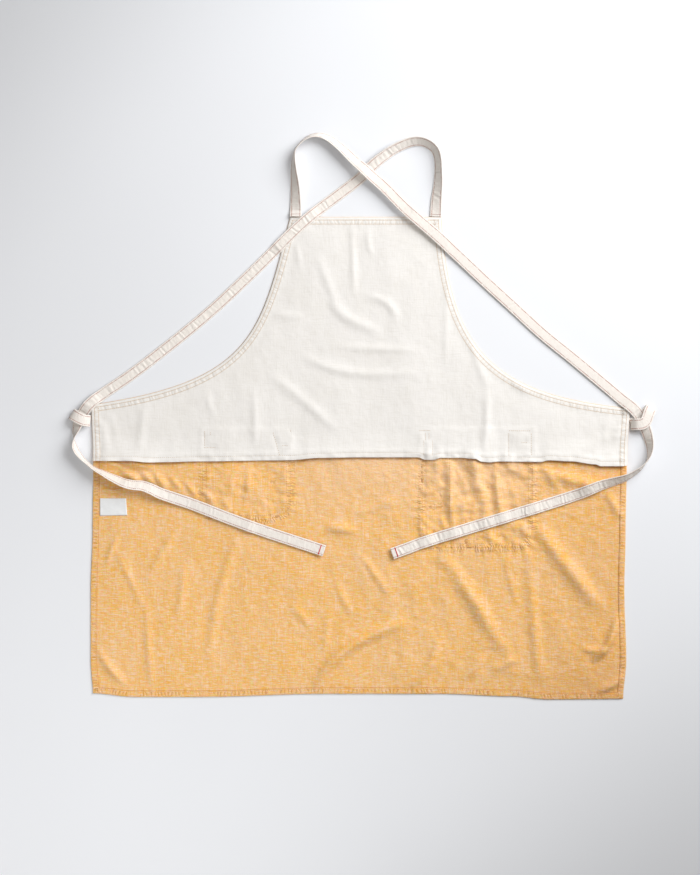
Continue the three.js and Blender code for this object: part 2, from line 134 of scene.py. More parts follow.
# Folds in the skirt: from, by way of, to, half width, height
SKIRT_FOLDS = (
    ((131, 230), (187, 146), (237, 66), 11, 5.4),
    ((251, 64), (232, 53), (211, 40), 6, 3.4),
    ((280, 275), (333, 206), (387, 139), 12, 6.4),
    ((269, 227), (278, 123), (285, 27), 8, 3.0),
    ((230, 227), (240, 187), (251, 147), 6, 2.0),
    ((412, 130), (397, 86), (374, 61), 6, 8.2),
    ((418, 34), (402, 19), (383, 10), 5, 6.0),
    ((394, 76), (375, 75), (357, 77), 5, 3.4),
    ((301, 357), (344, 346), (387, 336), 9, 5.5),
    ((293, 372), (305, 350), (318, 330), 7, 3.0),
    ((394, 328), (406, 307), (416, 290), 6, 3.2),
    ((143, 386), (144, 325), (147, 262), 7, 5.4),
    ((181, 390), (190, 340), (207, 286), 9, 6.0),
    ((215, 376), (219, 330), (227, 290), 5.5, 4.0),
    ((236, 372), (248, 362), (264, 350), 5, 3.0),
    ((128, 288), (133, 277), (138, 266), 4, 2.6),
    ((130, 104), (109, 48), (77, 17), 7, 4.4),
    ((197, 64), (184, 45), (165, 29), 6, 3.0),
    ((-70, 16), (-20, 78), (76, 121), 9, 8.0),
    ((-53, 269), (-32, 270), (-11, 266), 8, 5.0),
    ((-4, 294), (24, 303), (56, 322), 6, 2.6),
    ((6, 222), (24, 196), (46, 165), 6, 2.6),
    ((-109, 150), (-93, 130), (-77, 110), 6, 1.7),
    ((-50, 139), (-53, 107), (-58, 72), 5, 1.6),
    ((-37, 189), (-27, 158), (-13, 134), 6, 1.9),
    ((-290, 272), (-317, 230), (-341, 187), 6, 2.2),
    ((-282, 211), (-285, 168), (-293, 123), 6, 1.9),
    ((-192, 259), (-224, 168), (-242, 51), 8, 2.8),
    ((-341, 147), (-339, 83), (-333, 16), 6, 2.1),
    ((-389, 235), (-368, 190), (-349, 147), 6, 1.6),
    ((-419, 78), (-400, 46), (-374, 21), 6, 3.2),
    ((-405, 214), (-397, 237), (-387, 258), 4, 2.4),
    ((-181, 366), (-179, 344), (-179, 322), 5, 2.8),
    ((-304, 354), (-294, 341), (-285, 331), 4, 3.0),
    ((-278, 344), (-269, 331), (-259, 320), 4, 3.0),
    ((-251, 331), (-242, 320), (-234, 310), 4, 2.8),
    ((-221, 318), (-213, 307), (-205, 299), 4, 2.4),
    ((-412, 375), (-396, 374), (-382, 371), 5, 5.6),
    ((-376, 376), (-358, 373), (-330, 370), 7, 9.2),
    ((-384, 366), (-369, 356), (-352, 347), 5, 6.8),
    ((-348, 358), (-339, 351), (-329, 343), 4.5, 5.6),
    ((-328, 356), (-320, 347), (-311, 337), 4.5, 5.6),
    ((-409, 330), (-385, 331), (-356, 340), 4, 4.6),
)

# Rows of stitches inside the pockets: place across, top, bottom
POCKET_DIVIDERS = ((143.2, 384, 272), (-147.2, 378, 300))

# Folds in the lining, in the same columns
LINING_FOLDS = (
    ((-13, 750), (-11, 696), (-10, 642), 4.5, 1.7),
    ((-66, 702), (-51, 662), (-38, 624), 6.5, 1.4),
    ((13, 744), (14, 725), (19, 706), 4, 1.2),
    ((-43, 630), (-19, 606), (29, 587), 8, 2.5),
    ((10, 640), (43, 630), (59, 600), 6.5, 2.1),
    ((-35, 560), (27, 557), (91, 555), 6, 1.9),
    ((-91, 547), (-16, 520), (93, 520), 7, 2.3),
    ((-142, 515), (-90, 474), (-35, 424), 8, 2.1),
    ((-134, 610), (-115, 610), (-94, 608), 6, 1.4),
    ((139, 667), (138, 600), (136, 530), 5, 1.1),
    ((173, 573), (189, 533), (205, 494), 6, 1.5),
    ((203, 491), (202, 443), (198, 386), 5.5, 2.3),
    ((-171, 491), (-168, 446), (-168, 400), 6, 1.6),
    ((-344, 467), (-349, 430), (-352, 392), 7, 1.4),
    ((-245, 485), (-240, 467), (-235, 450), 5, 1.0),
    ((330, 387), (374, 406), (419, 424), 9, 1.6),
    ((242, 506), (256, 496), (270, 488), 5, 1.4),
    ((-102, 726), (-99, 706), (-96, 683), 4, 0.9),
    ((-418, 445), (-410, 425), (-405, 395), 5, 1.2),
    ((-398, 452), (-392, 430), (-390, 405), 5, 0.8),
    ((420, 445), (412, 425), (408, 400), 5, 1.2),
    ((398, 448), (392, 430), (390, 410), 5, 0.8),
    ((-416, 410), (-415, 396), (-414, 382), 2.2, -1.3),
    ((-426, 438), (-413, 434), (-398, 431), 3.0, 0.9),
    ((-426, 429), (-414, 426), (-400, 425), 3.0, 0.8),
    ((-427, 420), (-416, 416), (-404, 416), 3.0, 0.7),
    ((428, 430), (414, 428), (398, 431), 3.0, 0.9),
    ((428, 420), (416, 416), (404, 419), 3.0, 0.8),
)

# Route of each strap from the bib to its tie end: x, y, lift off what it crosses, roll in degrees
STRAP_LEFT_ROUTE = (
    (-103, 768.3, 0, 0),
    (-103, 795, 0, 25),
    (-104, 819, 0, 40),
    (-106, 843, 0, 60),
    (-106, 860, 0, 74),
    (-104, 873, 0, 82),
    (-97, 883, 0, 80),
    (-87, 892, 0, 74),
    (-76, 897, 0, 66),
    (-63, 897.5, 0, 58),
    (-49, 892, 0, 50),
    (-32, 879, 3, 42),
    (-11, 859, 5, 30),
    (14, 836, 6.5, 16),
    (38, 815, 7, 8),
    (75, 778, 7, 3),
    (118, 741, 5, 0),
    (150, 712, 2.5, 0),
    (198, 667, 1.2, 0),
    (245, 624, 1, 0),
    (293, 580, 1, 0),
    (340, 542, 1, 0),
    (388, 502, 1, 0),
    (420, 475, 1, 0),
    (437, 461, 2, 0),
    (448, 448, 2.4, -3),
    (455, 431, 2, -18),
    (460, 415, 0.5, -38),
    (462.5, 398, 0, -62),
    (460, 383, 0, -86),
    (451, 369, 0, -106),
    (437, 358, 0, -118),
    (424, 351, 0, -126),
    (405, 345, 0, -138),
    (382, 338, 0, -152),
    (352, 326, 0, -168),
    (312, 312.5, 0.6, -180),
    (224, 285.5, 0.9, -180),
    (160, 266, 1.2, -180),
    (128, 256.3, 0.9, -180),
    (96, 246, 0.8, -180),
    (75, 238, 1.2, -180),
    (51, 229.5, 3.0, -180),
)
STRAP_RIGHT_ROUTE = (
    (121, 768.3, 0, 0),
    (122, 795, 0, 22),
    (124.5, 819, 0, 40),
    (125, 842, 0, 52),
    (124, 860, 0, 54),
    (120, 873, 0, 52),
    (111, 882, 0, 49),
    (100, 887, 0, 46),
    (90, 888, 0, 43),
    (80, 886.5, 0, 40),
    (65.5, 881, 0, 38),
    (50.5, 873, 0, 34),
    (38, 864.5, 0, 26),
    (21, 851, 0, 14),
    (0, 830, 0, 0),
    (-32, 805, 0, 0),
    (-64, 781, 0, 0),
    (-96, 754, 0, 0),
    (-128, 723, 0, 0),
    (-160, 691, 0, 0),
    (-224, 630, 0, 0),
    (-256, 602, 0, 0),
    (-304, 563, 0, 0),
    (-368, 514, 0, 0),
    (-408, 487, 0.5, 0),
    (-430, 470, 2, 0),
    (-441, 457, 2.4, -3),
    (-448, 444, 2.2, -12),
    (-452.5, 430, 1.5, -38),
    (-456, 416, 0.5, -74),
    (-456, 404, 0, -106),
    (-452.5, 394, 0, -114),
    (-446, 385, 0, -106),
    (-437, 376, 0, -102),
    (-426, 367, 0, -99),
    (-411, 359, 0, -112),
    (-393, 350, 0, -128),
    (-375, 342.5, 0, -140),
    (-362, 339.5, 0, -145),
    (-347, 338, 0.4, -149),
    (-333, 333, 0.8, -154),
    (-320, 326.5, 1.0, -162),
    (-300, 319.5, 0.9, -172),
    (-272, 310, 1.0, -180),
    (-208, 285.5, 1.2, -180),
    (-160, 268, 1.3, -180),
    (-82, 242.3, 1.4, -180),
    (-57, 234, 3.0, -180),
)

# Route of each side loop: x, y, z, turn of the tape's width in degrees
LOOP_LEFT_ROUTE = (
    (-431, 441.5, 0.95, 90),
    (-441, 443.5, 0.95, 80),
    (-451, 448, 1.0, 66),
    (-457.5, 451.5, 1.6, 60),
    (-460.5, 453, 5.5, 60),
    (-459, 452, 10.5, 60),
    (-455, 450, 13.2, 62),
    (-448, 446, 14.2, 72),
    (-439.5, 442.5, 12.0, 86),
    (-431, 441.5, 6.2, 90),
)
LOOP_RIGHT_ROUTE = (
    (433, 436, 0.95, -90),
    (445, 441, 0.95, -72),
    (456, 452, 1.0, -44),
    (462, 459, 1.6, -40),
    (465.5, 463, 5.0, -38),
    (464.5, 462, 9.2, -38),
    (461.5, 456.5, 11.4, -38),
    (458.5, 448, 12.2, -42),
    (455, 440.5, 12.6, -60),
    (450, 437, 12.6, -84),
    (441, 436, 11.0, -89),
    (433, 436, 3.6, -90),
)

# The label's corners, its columns and rows of points, and the curl of its free end
LABEL_CORNERS = ((-416, 290), (-372, 291), (-374, 318), (-416, 318))
LABEL_GRID = (24, 16)
LABEL_CURL = (0.55, 1.0, 0.0, 0.5)

# Tacks that hold the pockets through the lining: from, to, pitch
LINING_TACKS = (
    ((-248.3, 425.6), (-248.3, 400.0), 2.4),
    ((-239.2, 424.0), (-239.2, 417.6), 2.4),
    ((-249.6, 399.2), (-230.4, 399.2), 2.4),
    ((-139.2, 424.0), (-128.0, 386.0), 3.6),
    ((-111.0, 428.0), (-111.0, 423.0), 2.0),
    ((-124.8, 402.4), (-115.2, 402.4), 2.4),
    ((94.4, 426.6), (113.6, 426.6), 2.0),
    ((110.2, 422.4), (110.2, 411.2), 2.0),
    ((104.5, 422.4), (104.5, 411.2), 2.8),
    ((101.8, 411.0), (101.8, 386.0), 2.8),
    ((116.0, 411.0), (116.0, 386.0), 2.8),
    ((237.6, 422.4), (237.6, 384.0), 2.2),
    ((237.6, 426.0), (274.0, 426.0), 3.2),
    ((257.6, 407.2), (268.8, 407.2), 2.4),
    ((273.6, 422.4), (273.6, 384.0), 3.6),
)

# How close the points of the cloth stand along an edge, and the rows of points just inside it
EDGE_STEP = 2.5
BODY_ROWS = (2.5, 5.0, 7.5, 10.0, 12.5, 15.0)
LINING_ROWS = (1.2, 3.0, 5.0, 6.5, 8.0, 9.5, 11.0, 13.0, 15.5)
POCKET_ROWS = (3.0,)

# Deeper rows take every other point. The field of even triangles starts a share of its step further in
SPARSE_DEPTH = 8.0
FIELD_GAP = 0.6
EVEN_TRIANGLE = 0.866

# Bands of the field inside those rows: from this height, up to this height, step between points
BODY_FIELD = ((-10, 394, 3.4), (394, 770, 9.0))
LINING_FIELD = ((360, 770, 3.6),)
POCKET_FIELD = ((230, 430, 6.0),)
STRAP_STEP = 1.25
LOOP_STEP = 1.2

# Where the side edges meet the hem, and how many places the edges and curves are read at
FEET = (-426.8, 420.2)
SIDE_SAMPLES = 200
HEM_SAMPLES = 300
FREE_SAMPLES = 700
CORNER_SAMPLES = 12
FOLD_SAMPLES = 40
ROUTE_SAMPLES = 16

# Distances to an outline are taken along every third of its points, and none is as far as this
NEAR_STRIDE = 3
FAR = 1e6

# The way into the cloth is longer at a corner, down to this share between its two sides
SHARPEST_CORNER = 0.6

# How a fold dies away to its ends, and how far it reaches in half widths
FOLD_FADE = 0.6
FOLD_REACH = 2.6

# Layers of the cloth
FLOOR_GAP = 0.04
LAYER_GAP = 0.12
FOLD_RADIUS = 0.45
ARMHOLE_INSET = 0.4
SIDE_OVERHANG = 0.4
PRESSED = 0.5
POCKET_RISE = 0.95
STRAP_GAP = 0.35
TACK_DEPTH = 1.0
TACK_REACH = 3.2

# Height over the floor from which surfaces are felt for
RAY_START = 200.0

# How the cloth changes over a distance: from, to, value before, value after
LOOSE_INSIDE = (0.0, 45.0, 0.12, 1.0)
SHOWN_BELOW = (0.0, 14.0, 1.0, 0.2)
WASHED_ACROSS = (-220.0, 110.0, 0.9, 1.6)
BESIDE_POCKET = (0.0, 8.0, POCKET_RISE, 0.0)
LIFTED_EDGE = (0.0, 42.0, 1.0, 0.0)
RUFFLED_EDGE = (0.0, 14.0, 1.0, 0.0)
SEAM_BULK_IN = (0.0, 3.0, 0.0, 0.55)
SEAM_BULK_OUT = (11.2, 15.2, 1.0, 0.0)
BILLOW_IN = (0.0, 30.0, 0.0, 1.0)
CREASES_IN = (0.0, 20.0, 0.0, 1.0)
HELD_EDGE = (0.0, 4.0, 0.0, 1.0)

# Length over which the cloth comes down from a turned hem
HEM_STEP = 3.0
LINING_HEM_STEP = 5.0

# Unevenness of the cloth: height, size of its waves, stretch upwards, seed
BODY_BILLOW = (1.3, 70.0, 0.7, 1.5)
BODY_RIPPLE = (0.7, 26.0, 0.6, 7.5)
BODY_CRINKLE = ((0.28, 11.0, 1.0, 4.5), (0.22, 6.5, 1.0, 9.5))
BODY_CREASES = (0.62, 19.0, 1.3, 5.5)
LINING_BILLOW = ((0.6, 46.0, 0.6, 13.5), (0.3, 17.0, 0.5, 17.5))
LINING_CRINKLE = (0.19, 8.0, 1.0, 23.5)
LINING_CREASES = (0.36, 24.0, 0.7, 25.5)
LINING_RUFFLE = (0.6, 9.0, 1.0, 31.0)
POCKET_RIPPLE = (0.05, 20.0, 1.0, 41.0)
LABEL_RUFFLE = (0.25, 14.0, 1.0, 61.0)

# How far the body and the lining billow at the least, and the level that creases rise from
BODY_PUFF = 0.8
LINING_PUFF = 0.5
CREASE_LEVEL = 0.3

# The pockets' cloth is washed into more crinkles, and cloth held at its edge into fewer
WASHED_POCKET = 2.4
CRINKLE_AT_EDGE = 0.35

# Gathers along a sewn line: height, share always there, distance from the edge, reach, pitch, seed
HEM_GATHERS = (0.5, 0.4, 9.0, 6.0, 13.0, 2.0)
SEAM_GATHERS = (0.52, 0.5, 8.0, 5.0, 12.0, 21.0)
POCKET_GATHERS = ((0.9, 0.0, 4.0, 11.0, 12.0, 11.0), (0.9, 0.0, 4.0, 11.0, 12.0, 12.0))

# How gathers wander along their line and change in strength: amount, size of the waves
GATHER_WANDER = (4.0, 30.0)
GATHER_STRENGTH = (0.6, 55.0)

# Grooves that stitches press: depth, half width. The pockets' one lies this far from their edge
SEAM_GROOVE = (0.30, 1.1)
FREE_GROOVE = (0.35, 1.4)
POCKET_GROOVE = (0.5, 3.0)
POCKET_GROOVE_INSET = 3.0

# Crosswise gathers in the straps: pitch, height, and the length over which they start
PUCKER_PITCH = 8.4
PUCKER_HEIGHT = 0.95
PUCKER_START = 20.0

# Their form: a round wave, a sharper one with its turn, and how they die away towards the sewn edges
PUCKER_ROUND = 0.66
PUCKER_SHARP = (0.14, 1.3)
PUCKER_CHANNEL = (0.52, 0.72, 1.0, 0.15)

# Their strength along the strap: the least, the most, and the level of noise that they start at
GATHER_LEAST = 0.12
GATHER_MOST = 1.7
GATHER_LEVEL = 0.1

# Noise in those gathers: strength, size of its waves, step across the strap, shift of the seed
PUCKER_WANDER = (7.0, 20.0, 0.0, 0.0)
PUCKER_GATHER = (1.0, 13.0, 0.0, 2.0)
PUCKER_BOW = (4.5, 8.0, 5.0, 4.0)
PUCKER_CRUMPLE = (0.3, 5.0, 9.0, 6.0)

# Share of the way where a strap meets its loop, how strongly each puckers before and after it, seed
LOOP_SHARE = 0.62
RIGHT_PUCKERS = (1.0, 0.6, 51.0)
LEFT_PUCKERS = (0.5, 1.0, 71.0)

# Stations to each side that a loop's turn, a strap's route and the ground under it are evened over
LOOP_REACH = 3
ROUTE_REACH = 5
GROUND_NEARBY = 3
GROUND_REACH = 4

# Places across a strap that feel the ground, and the share of its width that it stands on at the least
GROUND_SHARES = (-1.0, -0.5, 0.0, 0.5, 1.0)
LEAST_FOOT = 0.15

# The folded end of a tie: its length, the length over which it starts, how much thicker it is
TIE_END = 11.0
TIE_END_STEP = 2.0
TIE_END_THICKER = 0.35

# Rows of stitches: how far inside the armholes and bib top, the free edge, the hems and the pockets
SEAM_ROWS = (4.8, 11.2)
FREE_STITCHES = 7.0
HEM_STITCHES = 1.8
POCKET_STITCHES = (1.6, 7.6)

# How far the pockets' stitches go on under the lining, and the tacks' thread in sewing threads
STITCHES_COVERED = 8.0
TACK_THREAD = 1.5

# Bars of threads across a strap: distance from its end, pitch, length, thickness in threads
FOOT_BAR = (3.6, 0.9, 0.9, 1.3)
TIE_BAR = (9.0, 0.8, 1.9, 1.9)
BAR_SHARE = 0.82

# Names of the outlines' runs
HEM_RUNS = ("left side", "bottom", "right side")
SEWN_RUNS = ("left armhole", "right armhole", "top")
SIDE_RUNS = ("left side", "right side")


def linear(red, green, blue):
    """Turn a screen colour from 0 to 255 into the linear values that shaders use."""
    shades = (red / 255, green / 255, blue / 255)
    return tuple(c / 12.92 if c <= 0.04045 else ((c + 0.055) / 1.055) ** 2.4 for c in shades)


def length_property(name, description, default):
    """A size in metres that a user may change."""
    return bpy.props.FloatProperty(
        name=name,
        description=description,
        default=default,
        min=0.0,
        precision=5,
        subtype="DISTANCE",
        unit="LENGTH",
    )


def colour_property(name, description, shade):
    """A colour that a user may change, given as screen values."""
    return bpy.props.FloatVectorProperty(
        name=name,
        description=description,
        default=linear(*shade),
        min=0.0,
        max=1.0,
        size=3,
        subtype="COLOR",
    )


class ApronSizes(bpy.types.PropertyGroup):
    """Sizes of the cloth, the tapes and the camera's frame."""

    body_thickness: length_property("Body cloth", "Thickness of the ochre cloth", 0.00065)
    lining_thickness: length_property("Lining cloth", "Thickness of the cream lining", 0.0006)
    hem_width: length_property("Hem", "Width of the turned side and bottom hems", 0.009)
    lining_hem: length_property("Lining hem", "Width of the lining's turned lower edge", 0.010)
    strap_width: length_property("Strap width", "Width of the straps", 0.0186)
    strap_thickness: length_property("Strap thickness", "Thickness of the straps", 0.0016)
    loop_width: length_property("Loop width", "Width of the side loops' tape", 0.0186)
    loop_thickness: length_property("Loop thickness", "Thickness of the side loops' tape", 0.0012)
    label_thickness: length_property("Label", "Thickness of the care label", 0.0004)
    stitch_pitch: length_property("Stitch pitch", "Length from one stitch to the next", 0.0031)
    thread: length_property("Thread", "Thickness of the sewing thread", 0.00052)
    frame_height: length_property("Frame", "Height of the floor that the camera sees", 1.40)
    camera_height: length_property("Camera", "Height of the camera over the floor", 3.0)


class ApronColours(bpy.types.PropertyGroup):
    """Colours of the cloths, the threads and the floor."""

    ochre: colour_property("Ochre", "Main shade of the outer cloth", (236, 188, 122))
    # Pale slubs and yarns, a paler zone over the skirt's upper middle, and painted highlight on the
    # crests of the hems' gathers
    ochre_pale_and_highlight: colour_property("Ochre, pale yarns and highlight", "Pale slubs in the outer cloth, and painted highlight on the hems' gathers", (241, 208, 177))
    ochre_deep: colour_property("Ochre, deep yarns", "Deep slubs in the outer cloth", (240, 179, 76))
    ochre_blush: colour_property("Ochre, blush yarns", "Pinker yarns in the outer cloth", (247, 176, 131))
    ochre_gold: colour_property("Ochre, gold yarns", "Yellower yarns in the outer cloth", (228, 209, 119))
    # Deep brown for dark flecks in the weave, and painted shade: in the hems' inner crease, in the
    # hollows of the seams' gathers, just below the lining's free edge and towards the skirt's lower right
    ochre_flecks_and_shade: colour_property("Ochre, flecks and shade", "Dark flecks in the weave, and painted shade in creases, gathers, under the lining and towards the lower right", (176, 106, 36))
    cream: colour_property("Cream", "Main shade of the lining", (235, 234, 232))
    cream_deep: colour_property("Cream, deep yarns", "Darker yarns of the lining", (225, 223, 218))
    tape: colour_property("Tape", "Main shade of the straps and loops", (238, 234, 229))
    # Darker yarns of the straps, and painted shade along the tapes' very edges
    tape_yarns_and_edge_shade: colour_property("Tape yarns and edge shade", "Darker yarns of the straps, and painted shade along their edges", (224, 214, 205))
    tape_seam: colour_property("Tape seam", "Shade in the straps' sewn lines", (186, 140, 128))
    label: colour_property("Label", "The care label's cloth", (235, 239, 242))
    # Also laid on the lining as painted shade in the hollows of its seams' gathers
    cream_thread: colour_property("Cream thread", "Stitches on the lining", (203, 180, 152))
    ochre_thread: colour_property("Ochre thread", "Stitches on the skirt", (198, 140, 70))
    strap_thread: colour_property("Strap thread", "Stitches along the straps", (168, 118, 110))
    red_thread: colour_property("Red thread", "Bars across the tie ends", (214, 36, 46))
    floor: colour_property("Floor", "The pale floor", (233, 237, 243))


def sizes():
    """The sizes in pattern millimetres."""
    group = bpy.context.scene.apron_sizes
    return {name: getattr(group, name) / MM for name in ApronSizes.__annotations__}


def ease(share):
    """A smooth step from 0 to 1."""
    held = np.clip(share, 0.0, 1.0)
    return held * held * (3.0 - 2.0 * held)


def change(measure, start, end, before, after):
    """Go smoothly from one value to another as a measure goes from start to end."""
    return before + (after - before) * ease((measure - start) / (end - start))


def groove(distance, middle, reach):
    """A soft mark along an edge: 1 at its middle, fading over its reach."""
    return np.exp(-(((distance - middle) / reach) ** 2))


def read_table(rows, at, column=1):
    """Read a column of a table at many places, smooth between its rows."""
    table = np.asarray(rows, float)
    row = np.clip(np.searchsorted(table[:, 0], at) - 1, 0, len(table) - 2)
    share = (at - table[row, 0]) / (table[row + 1, 0] - table[row, 0])
    return table[row, column] + (table[row + 1, column] - table[row, column]) * ease(share)


def table_line(rows, start, end, count):
    """Points along a table's line, from one place across to another."""
    places = np.linspace(start, end, count)
    return np.stack([places, read_table(rows, places)], axis=1)


def side_line(column, start, end):
    """A side edge of the body from one corner to the next."""
    heights = np.linspace(start[1], end[1], SIDE_SAMPLES)
    line = np.stack([read_table(SIDE_EDGES, heights, column), heights], axis=1)
    line[0], line[-1] = start, end
    return line


def bezier(places):
    """Points along a cubic curve from its four places."""
    a, b, c, d = (np.asarray(place, float) for place in places)
    t = np.linspace(0.0, 1.0, SIDE_SAMPLES)[:, None]
    return a * (1 - t) ** 3 + 3 * b * t * (1 - t) ** 2 + 3 * c * t * t * (1 - t) + d * t**3


def way_lengths(points):
    """Length of a way up to each of its points."""
    return np.concatenate(([0.0], np.cumsum(np.linalg.norm(np.diff(points, axis=0), axis=1))))


def read_way(values, lengths, places):
    """Values along a way, read at other places along it."""
    return np.stack([np.interp(places, lengths, column) for column in values.T], axis=1)


def even_way(points, step):
    """The same way with points an even step apart."""
    points = np.asarray(points, float)
    lengths = way_lengths(points)
    count = max(2, round(lengths[-1] / step) + 1)
    return read_way(points, lengths, np.linspace(0.0, lengths[-1], count))


def waves(x, y, size, seed):
    """Smooth noise between about -1 and 1, with waves of about this size."""
    return np.array([noise.noise((a / size, b / size, seed)) for a, b in zip(x, y)])


def uneven(x, y, *layers):
    """Layers of smooth noise, each given as height, size of its waves, stretch upwards, seed."""
    return sum(height * waves(x, stretch * y, size, seed) for height, size, stretch, seed in layers)


def creases(x, y, height, size, stretch, seed):
    """Sharp little ridges that wander through the cloth, as washing leaves them."""
    return height * (CREASE_LEVEL - np.abs(waves(x, stretch * y, size, seed)))


class Outline:
    """A closed edge of the pattern, anticlockwise, made of named runs."""

    def __init__(self, runs):
        self.spans = {}
        parts = []
        start = 0
        for name, points in runs:
            part = even_way(points, EDGE_STEP)[:-1]
            self.spans[name] = (start, start + len(part))
            start += len(part)
            parts.append(part)
        self.points = np.vstack(parts)
        self.count = start
        self.inward = self.inward_ways()

    def inward_ways(self):
        """The way into the cloth at each point, longer at a corner so that edges stay even."""
        ahead = np.roll(self.points, -1, axis=0) - self.points
        left = np.stack([-ahead[:, 1], ahead[:, 0]], axis=1)
        left /= np.linalg.norm(left, axis=1)[:, None]
        both = left + np.roll(left, 1, axis=0)
        both /= np.linalg.norm(both, axis=1)[:, None]
        return both / np.maximum((both * left).sum(axis=1), SHARPEST_CORNER)[:, None]

    def run(self, *names):
        """Numbers of the points along neighbouring runs, with the point that ends the last one."""
        numbers = [i for name in names for i in range(*self.spans[name])]
        return numbers + [(numbers[-1] + 1) % self.count]

    def near(self, x, y, names):
        """Distance to the named runs, and the place along the outline, for many places at once."""
        distance = np.full(len(x), FAR)
        along = np.zeros(len(x))
        for name in names:
            numbers = self.run(name)
            marks = numbers[:-1:NEAR_STRIDE] + [numbers[-1]]
            place = self.spans[name][0] * EDGE_STEP
            for first, last in zip(marks, marks[1:]):
                start = self.points[first]
                way = self.points[last] - start
                size = np.hypot(*way)
                share = np.clip(((x - start[0]) * way[0] + (y - start[1]) * way[1]) / size**2, 0, 1)
                gap = np.hypot(x - start[0] - share * way[0], y - start[1] - share * way[1])
                closer = gap < distance
                distance[closer] = gap[closer]
                along[closer] = place + share[closer] * size
                place += size
        return distance, along

    def holds(self, x, y):
        """Whether each place lies inside the outline."""
        inside = np.zeros(len(x), bool)
        for a, b in zip(self.points, np.roll(self.points, -1, axis=0)):
            crosses = (a[1] > y) != (b[1] > y)
            rise = b[1] - a[1] if b[1] != a[1] else 1e-9
            inside ^= crosses & (x < (b[0] - a[0]) * (y - a[1]) / rise + a[0])
        return inside


def body_outline():
    """The whole panel: armholes, sides, hem and bib top."""
    bottom = table_line(BOTTOM_EDGE, *FEET, HEM_SAMPLES)
    return Outline(
        (
            ("left armhole", bezier(ARMHOLE_LEFT)),
            ("left side", side_line(1, ARMHOLE_LEFT[3], bottom[0])),
            ("bottom", bottom),
            ("right side", side_line(2, bottom[-1], ARMHOLE_RIGHT[3])),
            ("right armhole", bezier(ARMHOLE_RIGHT)[::-1]),
            ("top", np.array((ARMHOLE_RIGHT[0], ARMHOLE_LEFT[0]), float)),
        )
    )


def lining_outline(body):
    """The bib and the waist, a little inside the body's edge, down to the free edge."""
    inset = body.points + body.inward * ARMHOLE_INSET
    wide = body.points - body.inward * SIDE_OVERHANG
    runs = {name: inset[body.run(name)] for name in SEWN_RUNS}
    sides = {}
    for name in SIDE_RUNS:
        side = wide[body.run(name)]
        sides[name] = side[side[:, 1] > read_table(FREE_EDGE, side[:, 0]) + EDGE_STEP]
    sides["left side"][0] = runs["left armhole"][-1]
    sides["right side"][-1] = runs["right armhole"][0]
    free = table_line(FREE_EDGE, sides["left side"][-1][0], sides["right side"][0][0], FREE_SAMPLES)
    return Outline(
        (
            ("left armhole", runs["left armhole"]),
            ("left side", np.vstack([sides["left side"], free[:1]])),
            ("free edge", free),
            ("right side", np.vstack([free[-1:], sides["right side"]])),
            ("right armhole", runs["right armhole"]),
            ("top", runs["top"]),
        )
    )


def pocket_outline(pocket):
    """A patch with its lower corners rounded off."""
    _, left, right, top, bottom, corner_x, corner_y = pocket
    turn = np.linspace(0.0, math.pi / 2, CORNER_SAMPLES)
    left_corner = np.stack(
        [left + corner_x * (1 - np.cos(turn)), bottom + corner_y * (1 - np.sin(turn))], axis=1
    )
    right_corner = np.stack(
        [right - corner_x * (1 - np.sin(turn)), bottom + corner_y * (1 - np.cos(turn))], axis=1
    )
    sewn = np.vstack([[(left, top)], left_corner, right_corner, [(right, top)]])
    return Outline((("sewn", sewn), ("mouth", np.array(((right, top), (left, top)), float))))


BODY = body_outline()
LINING = lining_outline(BODY)
POCKET_EDGES = {pocket[0]: pocket_outline(pocket) for pocket in POCKETS}


def fold_lift(folds, x, y):
    """Height that the folds add at many places, each a soft ridge along a bent line."""
    lift = np.zeros(len(x))
    t = np.linspace(0.0, 1.0, FOLD_SAMPLES)[:, None]
    for start, middle, end, half_width, height in folds:
        a, b, c = (np.asarray(place, float) for place in (start, middle, end))
        line = a * (1 - t) * (1 - 2 * t) + 4 * b * t * (1 - t) + c * t * (2 * t - 1)
        fade = np.sin(np.pi * t[:, 0]) ** FOLD_FADE
        reach = FOLD_REACH * half_width
        close = (x > line[:, 0].min() - reach) & (x < line[:, 0].max() + reach)
        close &= (y > line[:, 1].min() - reach) & (y < line[:, 1].max() + reach)
        if not close.any():
            continue
        ridge = np.zeros(close.sum())
        for place, strength in zip(line, fade):
            gap = np.hypot(x[close] - place[0], y[close] - place[1]) / half_width
            ridge = np.maximum(ridge, strength * np.exp(-gap * gap))
        lift[close] += height * ridge
    return lift


def gathers(along, distance, height, base, middle, reach, pitch, seed):
    """The ladder of small gathers that a tight seam draws in the cloth."""
    zero = np.zeros_like(along)
    turn, wander_size = GATHER_WANDER
    share, strength_size = GATHER_STRENGTH
    ladder = np.sin(2 * np.pi * along / pitch + turn * waves(along, zero, wander_size, seed))
    strength = share + share * waves(along, zero, strength_size, seed + 3.0)
    return height * (ladder * strength * groove(distance, middle, reach) + base)


def pocket_rise(x, y):
    """How far the pockets underneath lift the body cloth."""
    rise = np.zeros(len(x))
    for edge in POCKET_EDGES.values():
        distance, _ = edge.near(x, y, ("sewn", "mouth"))
        distance[edge.holds(x, y)] = 0.0
        rise = np.maximum(rise, change(distance, *BESIDE_POCKET))
    return rise


def nearest_pocket(x, y):
    """Distance to the nearest pocket's sewn line, and the place along it."""
    found = [edge.near(x, y, ("sewn",)) for edge in POCKET_EDGES.values()]
    distances, places = (np.array(column) for column in zip(*found))
    closest = distances.argmin(axis=0)[None]
    return (np.take_along_axis(values, closest, axis=0)[0] for values in (distances, places))


def pocket_gathers(x, y):
    """Small gathers along the pockets' sewn lines."""
    lift = np.zeros(len(x))
    depth, width = POCKET_GROOVE
    for row, edge in zip(POCKET_GATHERS, POCKET_EDGES.values()):
        distance, along = edge.near(x, y, ("sewn",))
        lift += gathers(along, distance, *row) - depth * groove(distance, POCKET_GROOVE_INSET, width)
    return lift


